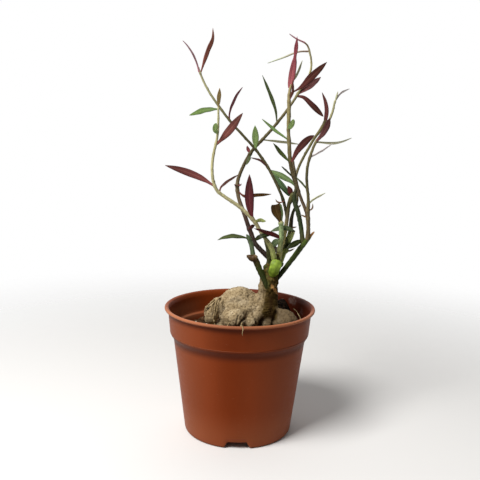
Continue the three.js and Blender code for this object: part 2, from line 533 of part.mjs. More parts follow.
const plant = new THREE.Group();
plant.add(asMesh('pot', pot(), 0x8a4a33, 0.55));
plant.add(asMesh('soil', cutFree(soil(), [caudex(GAP)]), 0x2c241d, 0.95));
plant.add(asMesh('caudex', caudex(), 0xa28b69, 0.9));
const clearances = { caudex: caudex(GAP) };
for (const [name, colour, neighbours, body] of GROWN) {
  const solid = cutFree(body(0), neighbours.map((neighbour) => clearances[neighbour]));
  clearances[name] = body(GAP);
  plant.add(asMesh(name, solid, colour, 0.6));
}

const box = new THREE.Box3().setFromObject(plant);
plant.position.set(-(box.min.x + box.max.x) / 2, -(box.min.y + box.max.y) / 2, -box.min.z);

export default plant;
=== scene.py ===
# The looks of a potted Monadenium rubellum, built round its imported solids. Metres, +Z up.
import json
import math

import bpy
import numpy as np
from mathutils import Matrix, Vector


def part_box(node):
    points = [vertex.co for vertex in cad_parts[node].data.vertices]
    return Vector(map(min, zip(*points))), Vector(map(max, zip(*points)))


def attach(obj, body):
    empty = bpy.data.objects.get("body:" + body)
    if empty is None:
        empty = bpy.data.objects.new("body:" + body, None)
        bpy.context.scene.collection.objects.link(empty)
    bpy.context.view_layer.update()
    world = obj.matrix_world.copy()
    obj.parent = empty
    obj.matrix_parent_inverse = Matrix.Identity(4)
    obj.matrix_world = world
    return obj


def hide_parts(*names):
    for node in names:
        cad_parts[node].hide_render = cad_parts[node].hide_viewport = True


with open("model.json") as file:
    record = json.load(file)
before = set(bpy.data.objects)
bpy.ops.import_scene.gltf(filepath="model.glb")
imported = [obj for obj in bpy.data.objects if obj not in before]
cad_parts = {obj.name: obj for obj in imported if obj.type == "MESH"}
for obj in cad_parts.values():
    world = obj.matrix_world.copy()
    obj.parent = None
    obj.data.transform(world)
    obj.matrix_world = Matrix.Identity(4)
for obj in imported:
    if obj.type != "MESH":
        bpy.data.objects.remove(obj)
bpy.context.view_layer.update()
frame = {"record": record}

bl_info = {
    "name": "Potted Monadenium",
    "version": (1, 0, 0),
    "blender": (4, 5, 0),
    "location": "3D View > Sidebar > Plant",
    "description": "A swollen tuber with leafy stems in a plastic nursery pot",
    "category": "Add Mesh",
}

# The shapes below are worked out in millimetres from the pot's axis, with z 0 at its foot.
MM = 0.001
POT_LOW, POT_HIGH = (np.array(corner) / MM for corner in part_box("pot"))
POT_AXIS = np.array([(POT_LOW[0] + POT_HIGH[0]) / 2, (POT_LOW[1] + POT_HIGH[1]) / 2, 0.0])
RIM_RADIUS = (POT_HIGH[0] - POT_LOW[0]) / 2
POT_HEIGHT = POT_HIGH[2] - POT_LOW[2]

# The pot's other sizes, in millimetres
FOOT_RADIUS = 37.2
FOOT_RING = 2.0
FOOT_ROUNDING = 2.2
FOOT_FLARE = 1.2
AXIS_HOLE = 0.4
BEAD_RADIUS = 1.05
COLLAR_TOP_RADIUS = 50.8
COLLAR_FOOT = (49.1, 71.8)
STEP_FOOT = (46.8, 67.5)
WALL = 1.3
LEDGE_INNER, LEDGE_OUTER, LEDGE_Z = 46.4, 48.0, 74.4
FLOOR_UNDERSIDE, FLOOR_TOP, FLOOR_RADIUS = 4.6, 6.0, FOOT_RADIUS - 0.2
DRAIN_HOLES, DRAIN_HOLE_RADIUS, DRAIN_CIRCLE = 6, 4.0, 21.0
NOTCHES, NOTCH_TOP_WIDTH, NOTCH_FOOT_WIDTH, NOTCH_HEIGHT = 3, 12.6, 18.6, 4.4
NOTCH_BLEND = 9.0
SOIL_LEVEL = 72.4
SOIL_DIP = 3.0
HEAP_HEIGHT, HEAP_PLACE, HEAP_SIZE = 14.0, (31.0, 34.0), (10.0, 9.5)
CRUMB_REACH, CRUMB_FLATNESS = 44.6, 0.75

# How finely the shells are made, round and along them
SOIL_CORNERS, SOIL_RINGS, HOLE_CORNERS = 200, 70, 32
ROOT_CORNERS, ROOT_RINGS = 10, 60
STEM_CORNERS, LEAF_CORNERS, LEAF_RINGS = 18, 20, 30

# How near a leaf's root swells a stem, and how far apart the old leaf scars are along a stem, in
# millimetres, and round it, in radians
NODE_REACH, SCAR_STEP, SCAR_TURN = 2.5, 4.6, 2.4

# The key light, in metres
KEY_PLACE, KEY_AIM = (-0.42, -0.42, 0.82), (0, 0, 0.1)

# The eye that the routes below are seen from. A route point is (column, row, depth, thickness): column
# and row are where it lies in the 480 by 480 picture, depth is how many millimetres it lies behind the
# plane through the pot's axis, and thickness is the stem's diameter there in millimetres.
PICTURE_SIZE = 480
PICTURE_MIDDLE = PICTURE_SIZE / 2
FOCAL_PIXELS = 642.2
EYE_DISTANCE = 450.0
EYE_PITCH = math.radians(8.88)
EYE_ROLL = math.radians(1.24)
LOOKED_AT = np.array([-0.95, 0.0, 137.1])
FORWARD = np.array([0.0, math.cos(EYE_PITCH), -math.sin(EYE_PITCH)])
TO_RIGHT = np.array([
    math.cos(EYE_ROLL),
    math.sin(EYE_PITCH) * math.sin(EYE_ROLL),
    math.cos(EYE_PITCH) * math.sin(EYE_ROLL),
])
TO_TOP = np.cross(TO_RIGHT, FORWARD)
EYE = LOOKED_AT - EYE_DISTANCE * FORWARD


def seen(route):
    """Places picture points: the sight line through each (column, row), followed to its depth.
    Any further values of a point, such as its thickness, are kept after its x, y and z."""
    route = np.atleast_2d(np.asarray(route, float))
    sight = (
        FORWARD
        + (route[:, :1] - PICTURE_MIDDLE) / FOCAL_PIXELS * TO_RIGHT
        + (PICTURE_MIDDLE - route[:, 1:2]) / FOCAL_PIXELS * TO_TOP
    )
    places = EYE + sight * ((route[:, 2:3] - EYE[1]) / sight[:, 1:2])
    return np.hstack([places, route[:, 3:]])


def picture_place(points):
    """The columns and rows where points lie in the picture: the sight line's share of the way to the
    right and to the top, over its way forward."""
    sight = points - EYE
    forward = sight @ FORWARD
    columns = PICTURE_MIDDLE + FOCAL_PIXELS * (sight @ TO_RIGHT) / forward
    rows = PICTURE_MIDDLE - FOCAL_PIXELS * (sight @ TO_TOP) / forward
    return columns, rows


# The tuber's shapes, each as its middle, a route point, and half sizes across, deep and high. Those of
# the body grow into each other and into the trunk; the lobes only press against it.
TUBER_BODY = [
    ((242, 314, 3), (17, 16, 16)),
    ((236, 303.4, 0), (11.2, 11.5, 11.2)),
    ((254.6, 312, -2), (8.6, 9.6, 10)),
    ((262, 306, -1), (4.2, 6, 7)),
    ((260.6, 313.6, -4.4), (4.2, 5, 4.8)),
    ((243.8, 297, 0), (4, 6.5, 6.2)),
    ((267, 290, -1), (2.2, 4, 7)),
    ((267.9, 284, -1), (3.6, 4.4, 5.6)),
]
TUBER_LOBES = [
    ((234.6, 318, -12), (9, 8.6, 8.6)),
    ((249.4, 321.6, -11), (5, 5.6, 5.4)),
    ((210.6, 314.6, -3), (5, 6.4, 7)),
    ((216.6, 304, 0), (4.6, 5, 5)),
    ((267.6, 323.4, -6.6), (4.8, 5.4, 4.6)),
    ((286, 322.4, -6), (8, 8.6, 8.6)),
    ((279.4, 314.6, -4), (3, 4, 3.9)),
    ((270, 338, -5), (20, 11, 9)),
    ((224, 334, -3), (13, 11, 9)),
]
BODY_REACH, LOBE_REACH, KNOB_REACH = 6.0, 2.0, 1.4
# The trunk's route, with its thickness, and the knobs of its bark
TRUNK = [
    (267.4, 330, -4, 9), (268.6, 320, -3.6, 10), (269.8, 309, -1.6, 11.4), (269.2, 295, 0, 12.2),
    (268.2, 284, 0, 12.6), (270.6, 273, 0, 11.4), (274, 262, 0, 9.2), (275.3, 256.5, 0, 6),
]
BARK_KNOBS = [
    ((276.2, 282.4, -2), (1.9, 2, 1.7)),
    ((275.4, 279, -3.4), (1.5, 1.6, 1.2)),
    ((274.6, 287.4, -4.6), (2.2, 1.5, 1.6)),
    ((265.4, 267, -2.6), (1.5, 1.5, 1.3)),
    ((264.6, 272, -3), (1.3, 1.4, 1.5)),
    ((268.8, 271, -4), (1.4, 1.3, 1.2)),
    ((271.6, 280.4, -5.4), (1.6, 1.2, 1.2)),
    ((273, 257, -2.6), (1.3, 1.2, 1)),
]
# Creases in the tuber's front: a line of picture points, how deep it is and how wide, in millimetres
CREASES = [
    ([(238.4, 315.5), (237, 320.5), (235.8, 327)], 0.8, 0.5),
    ([(245.6, 318.4), (242.4, 321.5), (238, 327.4)], 1.5, 0.7),
    ([(223.6, 308), (222.2, 314), (222.8, 325)], 0.7, 0.8),
    ([(224, 312), (228, 307.6), (235, 306.6), (241, 309)], 0.5, 0.8),
    ([(248.8, 296), (249, 298), (249.8, 300)], 0.5, 0.6),
    ([(229, 303), (234.5, 299.4), (240, 300.6)], 0.35, 0.7),
    ([(252.5, 314), (255, 319), (256, 324)], 0.7, 0.7),
    ([(262.4, 320), (260.4, 323), (259.4, 328)], 1.8, 1.5),
    ([(276.6, 311.5), (275, 316.5), (273.4, 321), (272.4, 327)], 1.7, 1.0),
    ([(283, 309), (280.4, 315), (281, 322)], 0.4, 0.7),
    ([(284.4, 311), (289.4, 312.8), (292, 318.4)], 0.6, 0.7),
    ([(283, 316.4), (286, 320), (287.4, 325)], 0.5, 0.8),
]
# The torn scar as a line of picture points, and its half width in millimetres
SCAR, SCAR_WIDTH = [(272.4, 286.2), (274.8, 289.6), (276.4, 292), (279, 294.4)], 1.3
# The bark's left edge, as picture rows and the columns where it lies there. Each pair of rows or columns
# after it is where something starts and where it is full.
BARK_EDGE = [270, 284, 292, 300, 308, 318], [259, 263, 265, 264.4, 262.6, 260.4]
BARK_FOOT_ROWS = 316, 321
BARK_RIGHT_COLUMNS, BARK_RIGHT_ROWS = (274.6, 276.8), (305, 309)
SMOOTH_BARK_ROWS, YOUNG_BARK_ROWS = (292, 298), (266, 284)
# A darker band down the trunk's front as painted shade: its picture column and half width
SHADE_BAND_COLUMN, SHADE_BAND_WIDTH = 270.6, 3.4
# Where the skin is darkened low by the soil, most left of these columns, and where painted shade falls on
# the right lobes, right of these columns and below these rows
DARK_LOW_LEFT_COLUMNS, SHADE_RIGHT_COLUMNS, SHADE_RIGHT_ROWS = (221, 229), (256, 272), (300, 312)
# Patches of the tuber's front, each as its middle and its half sizes in the picture
RINGED_FOOT = (266, 312), (4.4, 6)
RIBBED_SIDE = (255, 304), (6, 8)
GREEN_EYE = (267.4, 284.6), (2.4, 4.4)
# Painted shade on the wedge; the neck is darkened too
SHADED_WEDGE = (267, 322), (4, 4)
DARK_NECK = (259, 294), (4.4, 9)
# Limescale inside the pot: a route point and how far the stain reaches, in millimetres
STAINS = [
    ((294.4, 301.4, 28), 5), ((290, 299.6, 31), 3.4), ((282.4, 299.6, 37), 2.8), ((299, 312.4, 16), 7),
]

# The dry rootlets' routes
ROOTS = [
    [(221.4, 297.4, -6, 1.3), (218.2, 298.8, -9.4, 1.3), (215.9, 302.6, -11.4, 1.3),
     (214.9, 310, -13.4, 1.4), (213.7, 319, -14.4, 1.3), (215.4, 326, -14, 0.8)],
    [(221.6, 298.6, -6.6, 1.1), (218.6, 301.4, -10, 1.1), (217.2, 306, -12, 1.0),
     (216.4, 311, -13.4, 1.0), (215.4, 317, -14, 0.7)],
    [(214.6, 299.8, -5, 1.3), (209.8, 303.2, -7, 1.2), (206.7, 307.4, -7.6, 1.1),
     (204.2, 311.6, -7, 0.8)],
    [(217.2, 299.4, -5, 1.1), (212.8, 304.2, -8.4, 1.0), (211.3, 308.6, -10, 0.9),
     (210.6, 313, -10.6, 0.6)],
    [(242.4, 322.4, -20, 1.2), (241, 325.6, -26, 0.9), (241.4, 326.6, -42, 0.7),
     (242, 326, -51, 0.6), (242.3, 326.4, -53, 0.6), (242.7, 329, -54, 0.6),
     (242.2, 333.2, -54, 0.5), (243.1, 336.4, -53.4, 0.3)],
    [(229, 323, -19.6, 0.9), (227.4, 325.6, -22, 0.8), (224, 328, -25, 0.5)],
    [(293.6, 308.4, 13, 0.4), (295.4, 310.4, 10, 0.5), (297.6, 313.6, 7, 0.5), (299.8, 317.4, 4, 0.5),
     (301.2, 322, 2, 0.4)],
]

# A blade's width along its midrib, as shares of its length and of its full width
LANCE = [(0, 0.26), (0.12, 0.42), (0.3, 0.82), (0.52, 1), (0.74, 0.78), (0.9, 0.4), (1, 0.04)]
BLUNT = [(0, 0.3), (0.12, 0.34), (0.35, 0.68), (0.6, 0.96), (0.8, 1), (0.93, 0.94), (1, 0.74)]
SPOON = [(0, 0.34), (0.2, 0.5), (0.42, 0.86), (0.64, 1), (0.84, 0.92), (0.95, 0.6), (1, 0.3)]
EGG = [(0, 0.3), (0.1, 0.62), (0.3, 0.94), (0.55, 1), (0.78, 0.86), (0.93, 0.55), (1, 0.2)]
STALKED = [(0, 0.2), (0.16, 0.24), (0.34, 0.62), (0.56, 1), (0.8, 0.74), (0.93, 0.34), (1, 0.04)]
STRAP = [(0, 0.5), (0.12, 0.74), (0.4, 0.96), (0.66, 1), (0.86, 0.84), (0.96, 0.5), (1, 0.14)]
LATE = [(0, 0.34), (0.15, 0.54), (0.4, 0.86), (0.65, 1), (0.84, 0.76), (0.95, 0.38), (1, 0.06)]
TAPER = [(0, 0.74), (0.2, 0.94), (0.45, 1), (0.7, 0.74), (0.88, 0.42), (1, 0.04)]
ROUND = [(0, 0.44), (0.06, 0.68), (0.2, 0.87), (0.42, 0.94), (0.68, 1), (0.86, 0.95), (0.96, 0.7),
         (1, 0.34)]
TWISTED = [(0, 0.5), (0.1, 0.85), (0.3, 1), (0.5, 0.78), (0.62, 0.42), (0.78, 0.6), (0.92, 0.3),
           (1, 0.04)]

# Leaf colours at the root and at the tip
LEAF_COLOURS = {
    "wine": ("#74282E", "#4A1A1C"),
    "claret": ("#7C4442", "#5A322E"),
    "bract": ("#74665A", "#3A2E2E"),
    "crimson": ("#883840", "#622E30"),
    "garnet": ("#6C2628", "#4A1C1A"),
    "ruby": ("#7C3A3A", "#703838"),
    "plum": ("#8A4850", "#743A42"),
    "rose": ("#BC6A6E", "#A6505A"),
    "pink": ("#C88890", "#C498A0"),
    "maroon": ("#60302E", "#44241C"),
    "brick": ("#845250", "#5A3836"),
    "clay": ("#98584E", "#784838"),
    "russet": ("#76423C", "#58342E"),
    "mahogany": ("#723C3A", "#44221C"),
    "umber": ("#80604A", "#725C3E"),
    "blush": ("#7A4038", "#70501E"),
    "cup": ("#5E4A26", "#543C18"),
    "bronze": ("#BCA66C", "#B89A64"),
    "lime": ("#768E2A", "#7C9236"),
    "spring": ("#526638", "#586E36"),
    "sage": ("#A2C278", "#9CBA70"),
    "moss": ("#7A9458", "#88A664"),
    "olive": ("#98A060", "#8A9456"),
    "fern": ("#768846", "#52602E"),
    "khaki": ("#4A542C", "#4C562E"),
    "pine": ("#4A5430", "#3E4C28"),
    "jade": ("#62704E", "#526242"),
    "slate": ("#1C301A", "#4C663C"),
    "moor": ("#323C1C", "#4C542A"),
    # Painted shade: the dusk leaves are made very dark where they catch the light.
    "dusk": ("#262E10", "#20260C"),
    "reed": ("#B8B88E", "#BCBC98"),
    "ash": ("#846A5C", "#949A7E"),
    "straw": ("#B8ACA8", "#C8C0BE"),
}

# Stem colours along the route, as shares of its length
STEM_COLOURS = {
    "pale": [(0, "#A8B258"), (0.1, "#A8AE6A"), (0.2, "#AAA074"), (0.45, "#B8B084"), (0.65, "#BCB688"),
             (0.8, "#A8A076"), (1, "#B2AE86")],
    "dark": [(0, "#2A1E18"), (0.1, "#30221C"), (0.2, "#402C24"), (0.34, "#66583F"), (0.5, "#484024"),
             (0.72, "#645A3A"), (0.86, "#A09866"), (0.95, "#CCC292"), (1, "#A88A74")],
    # Painted light: the middle stem's lower stops are made paler where it lies in the shade of the stems
    # in front.
    "middle": [(0, "#A8A662"), (0.35, "#CABE7C"), (0.5, "#C0B07C"), (0.65, "#5C523A"), (0.8, "#4C4828"),
               (1, "#5C5A32")],
    "stub": [(0, "#A09C64"), (0.2, "#B0B67C"), (0.35, "#84905E"), (0.6, "#9CB07A"), (0.9, "#94A876"),
             (1, "#9A8A5C")],
    "cross": [(0, "#4A4630"), (0.35, "#625C3C"), (0.47, "#46422A"), (0.7, "#645E3E"), (0.86, "#9A9870"),
              (1, "#BCB48C")],
    # Painted light: the first stops are made paler where this stem lies in the shade of the stub and the
    # middle stem.
    "behind": [(0, "#9EAA60"), (0.15, "#A4AE5E"), (0.3, "#86924A"), (0.42, "#3E3A1E"), (0.6, "#262010"),
               (0.8, "#2C3018"), (1, "#80704C")],
    # Painted light: made pale where this stem lies in shade.
    "green": [(0, "#A2B068"), (0.6, "#A4B066"), (0.93, "#A8B070"), (1, "#B89468")],
    "tall": [(0, "#4E4A2C"), (0.12, "#2E3A22"), (0.3, "#2E361E"), (0.4, "#544A34"), (0.5, "#50442A"),
             (0.62, "#746A48"), (0.8, "#82784F"), (1, "#9A8A66")],
    "side": [(0, "#7A6C50"), (0.2, "#625A36"), (0.5, "#646038"), (0.7, "#665E38"), (1, "#7A7048")],
    "fork": [(0, "#6C5C3C"), (0.2, "#746648"), (0.35, "#5C5638"), (0.5, "#504C32"), (0.65, "#6C6444"),
             (1, "#A09C74")],
    "lean": [(0, "#5A4632"), (0.3, "#4A3C2C"), (0.8, "#403822"), (1, "#5A4A38")],
    "shoot": [(0, "#627050"), (1, "#4E5C40")],
    "shade": [(0, "#3E4020"), (0.5, "#464A28"), (1, "#5E603A")],
    "pruned": [(0, "#40381E"), (0.2, "#343A18"), (0.45, "#2A3212"), (0.7, "#384014"), (0.9, "#42381A"),
               (1, "#5E3E2A")],
    "dried": [(0, "#9C8868"), (0.2, "#806A4C"), (0.32, "#4C341C"), (0.7, "#442E14"), (1, "#584020")],
    "branch": [(0, "#232E10"), (0.3, "#303C14"), (0.6, "#3A461A"), (0.87, "#46561E"), (0.93, "#8A5A2A"),
               (1, "#D09A60")],
}


def leaf(colour, width, turn, *midrib, shape=LANCE, ribbed=True, dip=0):
    """A leaf's colour, its width at its widest in millimetres, how far its blade is turned about its
    midrib from facing the eye in degrees, and its midrib from root to tip. The middle of its tip lies
    back by dip millimetres."""
    return {
        "colour": colour, "width": width, "turn": math.radians(turn), "midrib": midrib, "shape": shape,
        "ribbed": ribbed, "dip": dip,
    }


def stem(colour, *route):
    """A stem's colours and its route from root to tip."""
    return {"colour": colour, "route": route}


YOUNG_LEAF = leaf(
    "lime", 7.8, 0, (271.6, 275.8, -5), (274, 271, -8.4), (275.9, 265.6, -9), (277, 259.8, -7),
    shape=ROUND, ribbed=False)
YOUNG_BUD = leaf("pine", 2.2, 10, (280.8, 267, -3), (281.8, 264.8, -4.2), (282.9, 262.4, -4.6), shape=EGG)
STUB_LEFT = stem(
    "pruned", (267.4, 292, -5, 2.4), (266.3, 287, -6.2, 3.2), (264.8, 281.6, -6.3, 3.6),
    (261.8, 274.8, -5.8, 4), (258.6, 267.4, -5.5, 4.3), (256.2, 261.6, -5.6, 4.6),
    (254.8, 257.4, -5.8, 4.4))
STUB_LIP = stem(
    "dried", (257.6, 256.2, -6, 2.4), (255.4, 257.2, -6.6, 4.6), (252.6, 258.2, -7, 5.2),
    (249.6, 257, -7.2, 3.6), (246.6, 255.3, -7.4, 1.3))
BRANCH_RIGHT = stem(
    "branch", (275, 281, 0, 3.5), (280, 274.8, 0, 3.5), (284.4, 269.3, -0.5, 3.5),
    (292.1, 259.3, -2.5, 3.6), (300.5, 248, -5, 3.8), (306.8, 240.2, -6.8, 3.3),
    (311, 235.3, -8, 1.9), (314.5, 231.5, -9, 0.9))

